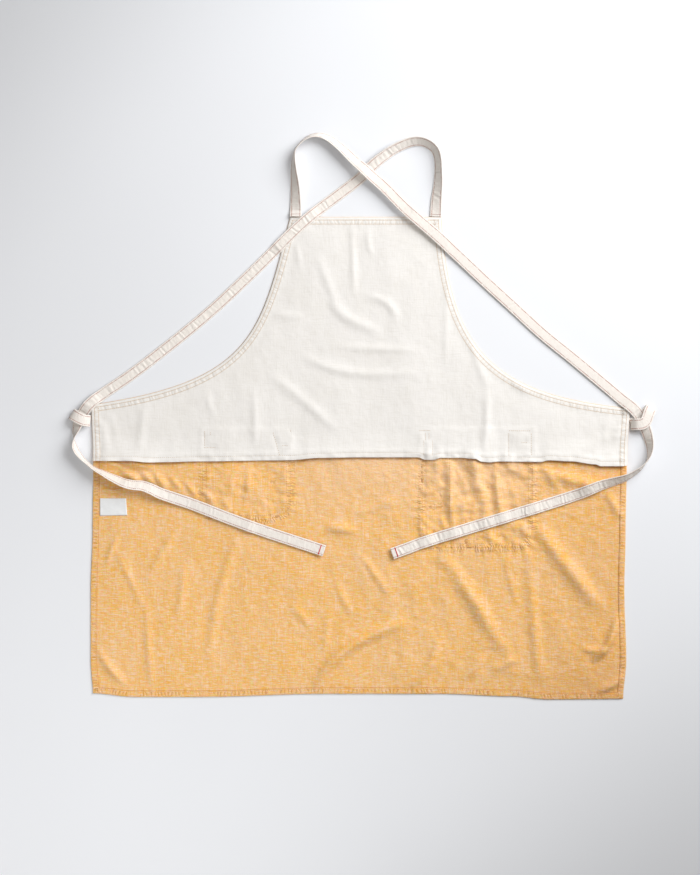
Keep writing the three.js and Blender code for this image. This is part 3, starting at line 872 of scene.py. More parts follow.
def body_middle(x, y):
    """Height of the middle of the outer cloth over the floor."""
    hem, along = BODY.near(x, y, HEM_RUNS)
    edge = np.minimum(hem, BODY.near(x, y, SEWN_RUNS)[0])
    loose = change(edge, *LOOSE_INSIDE)
    rise = pocket_rise(x, y)
    shown = change(y - read_table(FREE_EDGE, x), *SHOWN_BELOW)
    washed = change(x, *WASHED_ACROSS) * (1.0 + WASHED_POCKET * rise / POCKET_RISE) * shown
    billow = uneven(x, y, BODY_BILLOW) + washed * uneven(x, y, BODY_RIPPLE) + BODY_PUFF
    crinkle = uneven(x, y, *BODY_CRINKLE) + creases(x, y, *BODY_CREASES)
    crinkle *= CRINKLE_AT_EDGE + (1 - CRINKLE_AT_EDGE) * loose
    lift = rise + shown * pocket_gathers(x, y) + fold_lift(SKIRT_FOLDS, x, y)
    lift += loose * billow + washed * crinkle
    lift += gathers(along, hem, *HEM_GATHERS) * change(edge, *HELD_EDGE)
    rest = FLOOR_GAP + sizes()["body_thickness"] / 2
    return rest + np.maximum(lift, 0.0)


def hem_rise(x, y):
    """Height of the turned side and bottom hems over the body cloth's middle."""
    edge, _ = BODY.near(x, y, HEM_RUNS)
    width = sizes()["hem_width"]
    return change(edge, width, width + HEM_STEP, 2 * FOLD_RADIUS, 0.0)


def lining_middle(x, y):
    """Height of the middle of the lining over the floor."""
    sheet = sizes()
    below = body_middle(x, y) + hem_rise(x, y)
    layers = sheet["body_thickness"] / 2 + LAYER_GAP + sheet["lining_thickness"] / 2
    seam, along = LINING.near(x, y, SEWN_RUNS)
    free = y - read_table(FREE_EDGE, x)
    bulk = change(seam, *SEAM_BULK_IN) * change(seam, *SEAM_BULK_OUT)
    depth, width = SEAM_GROOVE
    bulk -= depth * sum(groove(seam, row, width) for row in SEAM_ROWS)
    bulk += gathers(along, seam, *SEAM_GATHERS) * change(seam, *HELD_EDGE)
    hem = sheet["lining_hem"]
    turned = change(free, hem, hem + LINING_HEM_STEP, 2 * FOLD_RADIUS + LAYER_GAP, 0.0)
    soft = read_table(FREE_EDGE, x, 2) * change(free, *LIFTED_EDGE)
    soft += uneven(x, y, LINING_RUFFLE) * change(free, *RUFFLED_EDGE)
    soft += (uneven(x, y, *LINING_BILLOW) + LINING_PUFF) * change(seam, *BILLOW_IN)
    soft += uneven(x, y, LINING_CRINKLE)
    soft += creases(x, y, *LINING_CREASES) * change(seam, *CREASES_IN)
    depth, width = FREE_GROOVE
    soft -= depth * groove(free, FREE_STITCHES, width)
    tacks = [(a, np.add(a, b) / 2, b, TACK_REACH, TACK_DEPTH) for a, b, _ in LINING_TACKS]
    soft += fold_lift(LINING_FOLDS, x, y) - fold_lift(tacks, x, y)
    return below + layers + np.maximum(bulk, 0.0) + turned + np.maximum(soft, 0.0)


def covered(outline, x, y, height):
    """A height where the outline holds the place, and the floor elsewhere."""
    return np.where(outline.holds(x, y), height, 0.0)


def cloth_top(x, y):
    """Top of the cloth that a strap lies on, or the floor."""
    sheet = sizes()
    body = body_middle(x, y) + hem_rise(x, y) + sheet["body_thickness"] / 2
    lining = lining_middle(x, y) + sheet["lining_thickness"] / 2
    return np.maximum(covered(BODY, x, y, body), covered(LINING, x, y, lining))


# What every surface here has in common, and the noise that its grains are made of
CLOTH_SURFACE = {"Specular IOR Level": 0.2, "Sheen Roughness": 0.6}
GRAIN_NOISE = {"Scale": 1.0, "Roughness": 0.55}
GRAIN_DEPTH = 40.0

# How far the ticks along a seam wander, and the shift of the noise that they follow
TICK_WANDER = (14.0, 15.0)


class Finish:
    """A cloth's material while it is made: adds nodes, joins them and keeps the shader at hand."""

    def __init__(self, name, roughness, sheen=0.0):
        self.material = bpy.data.materials.new(name)
        self.material.use_nodes = True
        self.tree = self.material.node_tree
        self.shader = self.tree.nodes["Principled BSDF"]
        surface = {"Roughness": roughness, "Sheen Weight": sheen, **CLOTH_SURFACE}
        for socket, value in surface.items():
            self.shader.inputs[socket].default_value = value

    def node(self, kind, inputs, **settings):
        """Add a node, with each input either joined to a socket or set to a value."""
        made = self.tree.nodes.new(kind)
        for name, value in settings.items():
            setattr(made, name, value)
        for socket, value in inputs.items():
            if isinstance(value, bpy.types.NodeSocket):
                self.tree.links.new(value, made.inputs[socket])
            else:
                made.inputs[socket].default_value = value
        return made

    def cloth_place(self):
        """The place on a piece that lies in the frame."""
        return self.node("ShaderNodeTexCoord", {}).outputs["Object"]

    def across_frame(self, place, axis):
        """One coordinate of a place in the frame."""
        return self.node("ShaderNodeSeparateXYZ", {"Vector": place}).outputs[axis]

    def field(self, name):
        """A number that the piece keeps at its points."""
        return self.node("ShaderNodeAttribute", {}, attribute_name=name).outputs["Fac"]

    def tape_place(self):
        """The place on a tape: across it, along it, and which tape."""
        parts = {"X": self.field("across"), "Y": self.field("along"), "Z": self.field("tape")}
        return self.node("ShaderNodeCombineXYZ", parts).outputs[0]

    def grain(self, place, size_x, size_y, detail=2.0, shift=0.0):
        """Noise with spots of this size in millimetres, so that a long size gives a yarn."""
        scale = (1 / (size_x * MM), 1 / (size_y * MM), GRAIN_DEPTH)
        inputs = {"Vector": place, "Location": (shift, shift, shift), "Scale": scale}
        mapped = self.node("ShaderNodeMapping", inputs).outputs[0]
        inputs = {"Vector": mapped, "Detail": detail, **GRAIN_NOISE}
        return self.node("ShaderNodeTexNoise", inputs).outputs[0]

    def grains(self, place, table):
        """The grains of a cloth by their names."""
        return {name: self.grain(place, *row) for name, row in table.items()}

    def between(self, value, low, high, top=1.0):
        """A smooth mask: nothing below low, top above high."""
        return self.node(
            "ShaderNodeMapRange",
            {"Value": value, "From Min": low, "From Max": high, "To Min": 0.0, "To Max": top},
            interpolation_type="SMOOTHSTEP",
        ).outputs[0]

    def mix(self, mask, first, second):
        """Lay a second colour over a first one by a mask."""
        inputs = {0: mask, 6: first, 7: second}
        shades = {k: (*v, 1.0) if isinstance(v, tuple) else v for k, v in inputs.items()}
        return self.node("ShaderNodeMix", shades, data_type="RGBA").outputs[2]

    def maths(self, operation, *values):
        """One step of arithmetic."""
        return self.node("ShaderNodeMath", dict(enumerate(values)), operation=operation).outputs[0]

    def product(self, first, second):
        """One value times another."""
        return self.maths("MULTIPLY", first, second)

    def total(self, first, second, share=1.0):
        """One value plus a share of another."""
        return self.maths("MULTIPLY_ADD", second, share, first)

    def band(self, value, start, end, soft, top=1.0):
        """A mask that is full from start to end, in metres, and fades over a soft length."""
        return self.product(
            self.between(value, start - soft, start, top), self.between(value, end + soft, end)
        )

    def ticks(self, place, seam, band, pitch, wander_size):
        """Uneven ticks from -1 to 1 along a seam, in a band beside it and about this pitch apart."""
        turns, shift = TICK_WANDER
        wander = self.product(self.grain(place, wander_size, wander_size, 1.0, shift), turns)
        phase = self.total(wander, self.field(f"{seam}_along"), 2 * math.pi / (pitch * MM))
        return self.product(self.maths("SINE", phase), self.band(self.field(f"{seam}_in"), *band))

    def colour(self, socket):
        """Give the shader its colour."""
        self.tree.links.new(socket, self.shader.inputs["Base Color"])

    def dye(self, base, values, layers):
        """Colour the shader with shades laid over a base one, each where all of its masks are."""
        colour = shade(base)
        for name, *masks in layers:
            spans = [self.between(values[value], *span) for value, *span in masks]
            colour = self.mix(functools.reduce(self.product, spans), colour, shade(name))
        self.colour(colour)

    def bump(self, values, relief):
        """Give the shader relief from values and the depth of each in millimetres."""
        height = 0.0
        for value, depth in relief.items():
            height = self.total(height, values[value], depth)
        inputs = {"Height": height, "Distance": MM, "Strength": 1.0}
        relief = self.node("ShaderNodeBump", inputs).outputs[0]
        self.tree.links.new(relief, self.shader.inputs["Normal"])


def shade(name):
    """A colour that the user set, as plain numbers."""
    return tuple(getattr(bpy.context.scene.apron_colours, name))


# Grains of each cloth: width and height of the spots in millimetres, detail, shift
OCHRE_GRAINS = {
    "weft": (15.0, 1.6, 2.0, 0.0),
    "short weft": (7.0, 1.4, 2.0, 9.0),
    "warp": (1.6, 18.0, 2.0, 5.0),
    "tint": (6.0, 1.8, 2.0, 21.0),
    "cloud": (70.0, 70.0, 2.0, 7.0),
    "slubs": (3.4, 46.0, 2.0, 31.0),
    "speckle": (2.6, 1.8, 1.0, 37.0),
    "drawn": (18.0, 18.0, 2.0, 27.0),
    # Breaks up the painted shadow below the lining's edge
    "lining_shadow_breaks": (26.0, 12.0, 3.0, 43.0),
    "crinkle": (9.0, 6.0, 3.0, 11.0),
    "fine": (3.4, 2.4, 2.0, 17.0),
}
CREAM_GRAINS = {
    "weft": (20.0, 1.7, 2.0, 2.0),
    "warp": (1.7, 24.0, 2.0, 6.0),
    "cloud": (55.0, 55.0, 2.0, 8.0),
    "crinkle": (6.0, 6.0, 3.0, 12.0),
}
TAPE_GRAINS = {
    "yarns": (0.9, 18.0, 3.0, 0.0),
    "cross": (8.0, 1.1, 3.0, 4.0),
    "worn": (4.0, 8.0, 2.0, 14.0),
    "crinkle": (5.0, 3.0, 3.0, 9.0),
}

# Ticks along the seams: seam, band beside it in metres with its softness, pitch, size of the wandering
OCHRE_TICKS = {
    "hem ticks": ("seam", (0.0016, 0.0066, 0.0012), 6.0, 20.0),
    "pocket ticks": ("pocket", (0.0, 0.004, 0.005), 4.8, 9.0),
}
CREAM_TICKS = ("seam", (0.005, 0.0105, 0.0012), 6.4, 16.0)
DRAWN = (0.36, 0.58)

# Shades laid over each cloth in turn, each with its masks: value, nothing here, full there, strength.
# X and Y are metres over the frame, a name with _in is metres beside a seam
OCHRE_LAYERS = (
    ("ochre_blush", ("tint", 0.48, 0.64, 0.9)),
    ("ochre_gold", ("tint", 0.52, 0.36, 0.9)),
    ("ochre_pale_and_highlight", ("slubs", 0.54, 0.70, 0.6)),
    ("ochre_deep", ("slubs", 0.46, 0.32, 0.5)),
    ("ochre_pale_and_highlight", ("weft", 0.50, 0.64, 0.85)),
    ("ochre_deep", ("weft", 0.48, 0.36, 0.75)),
    ("ochre_pale_and_highlight", ("short weft", 0.54, 0.68, 0.5)),
    ("ochre_deep", ("warp", 0.52, 0.66, 0.7)),
    ("ochre_pale_and_highlight", ("cloud", 0.40, 0.70, 0.15)),
    # Paler over the middle of the skirt's upper part, just below the lining
    ("ochre_pale_and_highlight", ("X", -0.17, -0.04), ("X", 0.34, 0.22), ("Y", -0.19, -0.09, 0.34)),
    # Painted shade: darker towards the right of the skirt, and more in its lower right corner, where the
    # light falls off
    ("ochre_flecks_and_shade", ("X", 0.22, 0.42, 0.1)),
    ("ochre_flecks_and_shade", ("X", 0.16, 0.40), ("Y", -0.34, -0.45, 0.16)),
    ("ochre_flecks_and_shade", ("speckle", 0.50, 0.72, 0.15)),
    # Painted shade in the hollows of the hems' gathers and painted highlight on their crests, then
    # painted shade in the hollows of the gathers along the pockets
    ("ochre_flecks_and_shade", ("hem ticks", -0.2, -0.9, 0.4)),
    ("ochre_pale_and_highlight", ("hem ticks", 0.3, 0.9, 0.15)),
    ("ochre_flecks_and_shade", ("pocket ticks", -0.2, -0.9, 0.32)),
    # Painted shade along the crease at the inner edge of the turned hems
    ("ochre_flecks_and_shade", ("seam_in", 0.0080, 0.0086, 0.45), ("seam_in", 0.0100, 0.0094)),
    # Painted shadow just below the lining's free edge, broken up by the lining_shadow_breaks grain
    (
        "ochre_flecks_and_shade",
        ("lining_in", -0.0054, -0.0030, 0.4),
        ("lining_in", 0.0064, 0.0040),
        ("lining_shadow_breaks", 0.40, 0.62),
    ),
)
CREAM_LAYERS = (
    ("cream_deep", ("weft", 0.50, 0.70, 0.45)),
    ("cream_deep", ("warp", 0.50, 0.70, 0.45)),
    ("cream_deep", ("cloud", 0.42, 0.70, 0.25)),
    # Painted shade in the hollows of the gathers beside the seam, in the thread's colour
    ("cream_thread", ("ticks", -0.2, -0.9, 0.2)),
    # A darker line along the very edge of the lining, then its two rows of stitches
    ("cream_thread", ("seam_in", -0.0010, -0.0004, 0.45), ("seam_in", 0.0010, 0.0004)),
    ("cream_thread", ("seam_in", 0.0038, 0.0044, 0.45), ("seam_in", 0.0058, 0.0052)),
    ("cream_thread", ("seam_in", 0.0102, 0.0108, 0.45), ("seam_in", 0.0122, 0.0116)),
)
TAPE_LAYERS = (
    ("tape_yarns_and_edge_shade", ("yarns", 0.48, 0.68, 0.30)),
    ("tape_yarns_and_edge_shade", ("cross", 0.50, 0.70, 0.30)),
    # Painted shade along the tape's very edges
    ("tape_yarns_and_edge_shade", ("side", 0.0088, 0.0093, 0.3)),
    ("tape_seam", ("side", 0.0056, 0.0062, 0.6), ("side", 0.0076, 0.0070), ("worn", 0.34, 0.56)),
)

# Relief of each cloth: depth of each value in millimetres
OCHRE_RELIEF = {
    "crinkle": 0.75,
    "fine": 0.33,
    "weft": 0.3,
    "warp": 0.25,
    "hem ticks": 0.16,
    "pocket ticks": 0.34,
}
CREAM_RELIEF = {"crinkle": 0.26, "weft": 0.12, "warp": 0.16, "ticks": 0.1}
TAPE_RELIEF = {"crinkle": 0.6, "yarns": 0.08, "cross": 0.12}

# How much dimmer the floor is in its cloudy places and in the painted shade far from the middle, and the
# way that this painted shade darkens it
FLOOR_CLOUDY = 0.985
FLOOR_CORNER_SHADE = 0.80
FLOOR_WAY = (-0.62, 0.78)
FLOOR_REACH = (0.5, 1.0)


def ochre_chambray(name):
    """Slub chambray: ochre yarns both ways, with paler and deeper ones and a washed crinkle, and painted
    shade and highlight laid over it.
    """
    cloth = Finish(name, 0.92)
    place = cloth.cloth_place()
    values = cloth.grains(place, OCHRE_GRAINS)
    values |= {axis: cloth.across_frame(place, axis) for axis in "XY"}
    values |= {field: cloth.field(field) for field in ("seam_in", "lining_in")}
    drawn = cloth.between(values["drawn"], *DRAWN)
    for ticks, row in OCHRE_TICKS.items():
        values[ticks] = cloth.product(cloth.ticks(place, *row), drawn)
    cloth.dye("ochre", values, OCHRE_LAYERS)
    cloth.bump(values, OCHRE_RELIEF)
    return cloth.material


def cream_cotton(name):
    """Soft cream cotton with a faint uneven weave, darker sewn lines, a darker line at its very edge and
    painted shade in the hollows of its seams' gathers.
    """
    cloth = Finish(name, 0.9, sheen=0.12)
    place = cloth.cloth_place()
    values = cloth.grains(place, CREAM_GRAINS)
    values |= {"seam_in": cloth.field("seam_in"), "ticks": cloth.ticks(place, *CREAM_TICKS)}
    cloth.dye("cream", values, CREAM_LAYERS)
    cloth.bump(values, CREAM_RELIEF)
    return cloth.material


def cream_tape(name):
    """The straps' cloth: cream, with yarns along the tape, darker sewn lines uneven along it, and painted
    shade along its very edges.
    """
    cloth = Finish(name, 0.88, sheen=0.12)
    values = cloth.grains(cloth.tape_place(), TAPE_GRAINS)
    values["side"] = cloth.maths("ABSOLUTE", cloth.field("across"))
    cloth.dye("tape", values, TAPE_LAYERS)
    cloth.bump(values, TAPE_RELIEF)
    return cloth.material


def spun_material(name, kind, surface, grain, span, dimmer, depth):
    """A shade with dimmer yarns: its surface, their grain, where they show, their shade and relief."""
    yarn = Finish(name, *surface)
    yarns = yarn.grain(yarn.cloth_place(), *grain)
    darker = tuple(dimmer * c for c in shade(kind))
    yarn.colour(yarn.mix(yarn.between(yarns, *span), shade(kind), darker))
    yarn.bump({"yarns": yarns}, {"yarns": depth})
    return yarn.material


def label_cloth(name):
    """Smooth white label satin."""
    return spun_material(name, "label", (0.5, 0.05), (6.0, 0.5), (0.45, 0.65, 0.6), 0.93, 0.05)


def thread(name):
    """Sewing thread in one of the apron's thread colours."""
    kind = name.lower().replace(" ", "_")
    return spun_material(name, kind, (0.75, 0.1), (1.0, 1.0), (0.4, 0.65, 0.7), 0.8, 0.08)


def floor_paper(name):
    """The plain pale floor: faintly uneven, with painted shade darkening it towards two of its corners.
    """
    paper = Finish(name, 0.7)
    place = paper.cloth_place()
    cloud = paper.grain(place, 400.0, 400.0, 1.0)
    cloudy, painted_corner_shade = (tuple(share * c for c in shade("floor")) for share in (FLOOR_CLOUDY, FLOOR_CORNER_SHADE))
    colour = paper.mix(paper.between(cloud, 0.35, 0.7), shade("floor"), cloudy)
    # Painted shade darkens the floor towards its top left and bottom right corners
    right, up = (paper.across_frame(place, axis) for axis in "XY")
    slanted = paper.total(paper.product(right, FLOOR_WAY[0]), up, FLOOR_WAY[1])
    far = paper.between(paper.maths("ABSOLUTE", slanted), *FLOOR_REACH)
    paper.colour(paper.mix(far, colour, painted_corner_shade))
    return paper.material


MATERIALS = {
    "Ochre slub chambray": ochre_chambray,
    "Cream cotton": cream_cotton,
    "Cream tape": cream_tape,
    "Label satin": label_cloth,
    "Cream thread": thread,
    "Ochre thread": thread,
    "Strap thread": thread,
    "Red thread": thread,
    "Pale floor": floor_paper,
}


def finish(name):
    """A material by its name, made the first time that it is asked for."""
    return bpy.data.materials.get(name) or MATERIALS[name](name)


def select_only(piece):
    """Make one piece the only one that an operator acts on."""
    bpy.ops.object.select_all(action="DESELECT")
    piece.select_set(True)
    bpy.context.view_layer.objects.active = piece


def make_piece(name, places, faces, material):
    """A smooth mesh piece from pattern millimetres, set in the frame."""
    mesh = bpy.data.meshes.new(name)
    mesh.from_pydata((np.asarray(places) * MM + ORIGIN).tolist(), [], faces)
    mesh.polygons.foreach_set("use_smooth", [True] * len(mesh.polygons))
    mesh.materials.append(finish(material))
    mesh.update()
    piece = bpy.data.objects.new(name, mesh)
    bpy.context.scene.collection.objects.link(piece)
    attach(piece, "root")
    return piece


def keep_fields(piece, **fields):
    """Keep numbers at the points of a piece, for its material to read."""
    for name, values in fields.items():
        piece.data.attributes.new(name, "FLOAT", "POINT").data.foreach_set("value", values)


def thicken(piece, thickness):
    """Give a sheet its thickness, half to each side."""
    select_only(piece)
    wall = piece.modifiers.new("Cloth thickness", "SOLIDIFY")
    wall.thickness = thickness * MM
    wall.offset = 0.0
    bpy.ops.object.modifier_apply(modifier=wall.name)


def fill_outline(outline, rows, bands):
    """Points and triangles over an outline: its edge, rows just inside it and an even field."""
    rings = [outline.points]
    for number, depth in enumerate(rows):
        ring = outline.points + outline.inward * depth
        rings.append(ring[number % 2 :: 2] if depth > SPARSE_DEPTH else ring)
    left, right = outline.points[:, 0].min(), outline.points[:, 0].max()
    for low, high, step in bands:
        columns, lines = np.arange(left, right, step), np.arange(low, high, step * EVEN_TRIANGLE)
        grid_x, grid_y = np.meshgrid(columns, lines)
        grid_x[::2] += step / 2
        x, y = grid_x.ravel(), grid_y.ravel()
        inside = outline.holds(x, y)
        x, y = x[inside], y[inside]
        distance, _ = outline.near(x, y, tuple(outline.spans))
        deep = distance > rows[-1] + FIELD_GAP * step
        rings.append(np.stack([x[deep], y[deep]], axis=1))
    places = np.vstack(rings)
    loop = [(i, (i + 1) % outline.count) for i in range(outline.count)]
    filled = delaunay_2d_cdt([Vector(p) for p in places], loop, [], 1, 1e-6, False)
    if len(filled[0]) != len(places):
        raise RuntimeError("The points of a cloth fell together")
    faces = np.array(filled[2])
    middles = places[faces].mean(axis=1)
    return places, faces[outline.holds(*middles.T)].tolist()


def turned_strip(outline, numbers, width, side, first_free):
    """Rings and faces of an edge that is folded over: up for side 1, under for side -1.

    Returns the rings as (places, layer height) and the faces, which start at the outline's points.
    """
    edge = outline.points[numbers]
    inward = outline.inward[numbers]
    rings = []
    for angle in (45, 90, 135):
        turn = math.radians(angle)
        rings.append((edge - inward * FOLD_RADIUS * math.sin(turn), FOLD_RADIUS * (1 - math.cos(turn))))
    flat = ((0, 1), (2, 1), (4, 1), (6, 1), (width - 1.5, 0.95))
    pressed = ((width - 0.3, PRESSED), (width, PRESSED))
    for depth, share in flat + pressed:
        rings.append((edge + inward * depth, 2 * FOLD_RADIUS * share))
    faces = []
    before = list(numbers)
    for number in range(len(rings)):
        start = first_free + number * len(numbers)
        after = list(range(start, start + len(numbers)))
        for i in range(len(numbers) - 1):
            faces.append((before[i + 1], before[i], after[i], after[i + 1]))
        before = after
    return [(places, side * height) for places, height in rings], faces


def sheet_with_hem(outline, rows, bands, height_at, numbers, width, side):
    """A cloth over an outline, with one run of its edge turned over and its heights set."""
    places, faces = fill_outline(outline, rows, bands)
    strip, strip_faces = turned_strip(outline, numbers, width, side, len(places))
    layers = np.concatenate([np.zeros(len(places))] + [np.full(len(p), h) for p, h in strip])
    every = np.vstack([places] + [p for p, _ in strip])
    heights = height_at(every[:, 0], every[:, 1]) + layers
    return np.column_stack([every, heights]), faces + strip_faces


# A stitch: share of its length, thickness and sink at each of its rings
STITCH_RINGS = ((0.0, 0.45, -0.5), (0.22, 1.0, 0.2), (0.78, 1.0, 0.2), (1.0, 0.45, -0.5))

# The corners of a ring, half its width and height in threads, and the share of the pitch that shows
RING = 4
STITCH_WIDE = 0.5
STITCH_TALL = 0.42
STITCH_SHARE = 0.72


class Stitches:
    """Threads of one colour, gathered row by row and joined into one light mesh."""

    def __init__(self):
        sheet = sizes()
        self.pitch = sheet["stitch_pitch"]
        self.thread = sheet["thread"]
        self.threads = []

    def add(self, starts, ends, ups, thick=1.0):
        """Add threads from their two ends and the way out of the cloth."""
        thickness = thick * self.thread
        run = ends - starts
        across = unit(np.cross(run, ups))
        rings = []
        for share, size, sink in STITCH_RINGS:
            middle = starts + run * share + ups * thickness * sink
            flat, tall = across * thickness * STITCH_WIDE * size, ups * thickness * STITCH_TALL * size
            rings.append(np.stack([middle - flat, middle + tall, middle + flat, middle - tall], axis=1))
        self.threads.append(np.concatenate(rings, axis=1))

    def row(self, way, ups, pitch=None, thick=1.0):
        """Add stitches along a way on the cloth, an even pitch apart."""
        pitch = pitch or self.pitch
        lengths = way_lengths(way)
        first = (np.arange(int(lengths[-1] / pitch)) + 0.5 * (1 - STITCH_SHARE)) * pitch
        long = STITCH_SHARE * pitch
        starts, ends = (read_way(way, lengths, places) for places in (first, first + long))
        self.add(starts, ends, read_way(ups, lengths, first + 0.5 * long), thick)

    def flat_row(self, places, height_at, pitch=None, thick=1.0):
        """Add stitches along a line on cloth that lies flat, at the height of its face."""
        line = even_way(places, 1.0)
        way = np.column_stack([line, height_at(*line.T)])
        self.row(way, np.tile((0.0, 0.0, 1.0), (len(way), 1)), pitch, thick)

    def tape_edges(self, tape):
        """Add a row along both edges of a tape, on both of its faces."""
        for share in (-SEWN_SHARE, SEWN_SHARE):
            for side in (1, -1):
                self.row(tape.face(share, side), tape.normals * side)

    def bar(self, tape, end, distance, pitch, long, thick):
        """Add threads side by side across both faces of a tape, near its start (1) or its end (-1)."""
        station = end * round(distance / STRAP_STEP)
        half = np.cross(tape.normals, tape.across)[station] * long / 2
        shares = np.arange(-BAR_SHARE, BAR_SHARE + 0.01, pitch / tape.half)
        for side in (1, -1):
            middles = np.array([tape.face(share, side)[station] for share in shares])
            ups = np.tile(tape.normals[station] * side, (len(shares), 1))
            self.add(middles - half, middles + half, ups, thick)

    def piece(self, name, material, slot):
        """Join the threads into a piece in one thread colour."""
        threads = np.concatenate(self.threads)
        count, corners, _ = threads.shape
        pattern = [tuple(range(RING)), tuple(range(corners - 1, corners - 1 - RING, -1))]
        for ring in range(0, corners - RING, RING):
            for k in range(RING):
                here, there = ring + k, ring + (k + 1) % RING
                pattern.append((here, here + RING, there + RING, there))
        shifts = (np.arange(count) * corners)[:, None, None]
        faces = (np.array(pattern)[None] + shifts).reshape(-1, RING).tolist()
        make_piece(name, threads.reshape(-1, 3), faces, material)


def curve_stations(rows, bent, step):
    """Even stations on a smooth curve through the rows, with the other columns read between them."""
    table = np.asarray(rows, float)
    points = table[:, :bent]
    full = np.vstack([2 * points[0] - points[1], points, 2 * points[-1] - points[-2]])
    fine, places = [], []
    t = np.linspace(0.0, 1.0, ROUTE_SAMPLES, endpoint=False)[:, None]
    for i in range(len(points) - 1):
        p0, p1, p2, p3 = full[i : i + 4]
        d0, d1, d2 = (math.sqrt(np.linalg.norm(b - a)) for a, b in ((p0, p1), (p1, p2), (p2, p3)))
        m1 = ((p1 - p0) / d0 - (p2 - p0) / (d0 + d1) + (p2 - p1) / d1) * d1
        m2 = ((p2 - p1) / d1 - (p3 - p1) / (d1 + d2) + (p3 - p2) / d2) * d1
        fine.append(
            p1 + m1 * t + (3 * (p2 - p1) - 2 * m1 - m2) * t**2 + (2 * (p1 - p2) + m1 + m2) * t**3
        )
        places.append(i + t[:, 0])
    fine = np.vstack(fine + [points[-1:]])
    places = np.concatenate(places + [[len(points) - 1.0]])
    lengths = way_lengths(fine)
    even = np.linspace(0.0, lengths[-1], round(lengths[-1] / step) + 1)
    curve = read_way(fine, lengths, even)
    row_at = np.interp(even, lengths, places)
    rest = [np.interp(row_at, np.arange(len(table)), column) for column in table[:, bent:].T]
    return curve, rest, even


def smooth_run(values, reach):
    """Average a run of values over its neighbours, with its ends held."""
    padded = np.pad(values, reach, mode="edge")
    return np.convolve(padded, np.ones(2 * reach + 1) / (2 * reach + 1), mode="valid")


def widest_run(values, reach):
    """The largest value within reach of each place of a run."""
    padded = np.pad(values, reach, mode="edge")
    return np.max([padded[i : i + len(values)] for i in range(2 * reach + 1)], axis=0)


def unit(vectors):
    """Vectors at length one."""
    return vectors / np.linalg.norm(vectors, axis=1)[:, None]


# Half of a tape's section: places across as shares of the half width, and where its edges are sewn
SIDE_SHARES = (1.0, 0.99, 0.96, 0.91, 0.86, 0.81, 0.77, 0.74, 0.71, 0.68, 0.64, 0.55, 0.38, 0.19)
SECTION = np.array([-share for share in SIDE_SHARES] + [0.0] + list(reversed(SIDE_SHARES)))
SEWN_SHARE = 0.71

# How deep and wide a tape is pressed where it is sewn, and how square its edges are
SEWN_DEPTH = 0.38
SEWN_WIDTH = 0.05
EDGE_ROUND = 16


class Tape:
    """A flat tape along a curve, with its middle, its ways and its swells."""

    def __init__(self, middles, across, along, width, thickness):
        run = unit(np.gradient(middles, axis=0))
        self.middles = middles
        self.across = unit(across - run * (across * run).sum(axis=1)[:, None])
        self.normals = np.cross(self.across, run)
        self.along = along
        self.half = width / 2
        self.thickness = np.full(len(middles), thickness)
        self.swell = np.zeros((len(middles), len(SECTION)))

    def half_thickness(self, share):
        """Half the thickness at a place across, thin at the sewn lines and round at the edge."""
        pressed = SEWN_DEPTH * groove(np.abs(share), SEWN_SHARE, SEWN_WIDTH)
        return 0.5 * (1 - np.abs(share) ** EDGE_ROUND) ** 0.5 * (1 - pressed)

    def pucker(self, strength, seed):
        """Gather the tape crosswise between its sewn edges."""

        def wavy(row, share=0.0):
            amount, size, step, shift = row
            return amount * waves(self.along, np.full(len(self.along), step * share), size, seed + shift)

        wander = wavy(PUCKER_WANDER)
        gather = GATHER_LEAST + GATHER_MOST * np.maximum(wavy(PUCKER_GATHER) + GATHER_LEVEL, 0.0)
        sharp, turn = PUCKER_SHARP
        for k, share in enumerate(SECTION):
            phase = 2 * np.pi * (self.along + wander + wavy(PUCKER_BOW, share)) / PUCKER_PITCH
            ripple = gather * (PUCKER_ROUND * np.sin(phase) + sharp * np.sin(2 * phase + turn))
            ripple += wavy(PUCKER_CRUMPLE, share)
            channel = change(abs(share), *PUCKER_CHANNEL)
            self.swell[:, k] = PUCKER_HEIGHT * strength * ripple * channel

    def face(self, share, side):
        """Places along one face of the tape at a place across."""
        bend = np.array([np.interp(share, SECTION, row) for row in self.swell])
        rise = side * self.half_thickness(share) * self.thickness + bend
        return self.middles + self.across * (share * self.half) + self.normals * rise[:, None]

    def piece(self, name, tape_number):
        """The closed mesh of the tape, with its along and across stored at its points for its weave."""
        columns = [self.face(share, 1) for share in SECTION]
        columns += [self.face(share, -1) for share in SECTION[-2:0:-1]]
        shares = np.concatenate([SECTION, SECTION[-2:0:-1]])
        ring = len(columns)
        stations = len(self.middles)
        places = np.stack(columns, axis=1).reshape(-1, 3)
        faces = [tuple(range(ring))[::-1], tuple(range((stations - 1) * ring, stations * ring))]
        for i in range(stations - 1):
            for k in range(ring):
                here, there = i * ring + k, i * ring + (k + 1) % ring
                faces.append((here, there, there + ring, here + ring))
        made = make_piece(name, places, faces, "Cream tape")
        keep_fields(
            made,
            across=np.tile(shares * self.half * MM, stations),
            along=np.repeat(self.along * MM, ring),
            tape=np.full(stations * ring, float(tape_number)),
        )
        return made


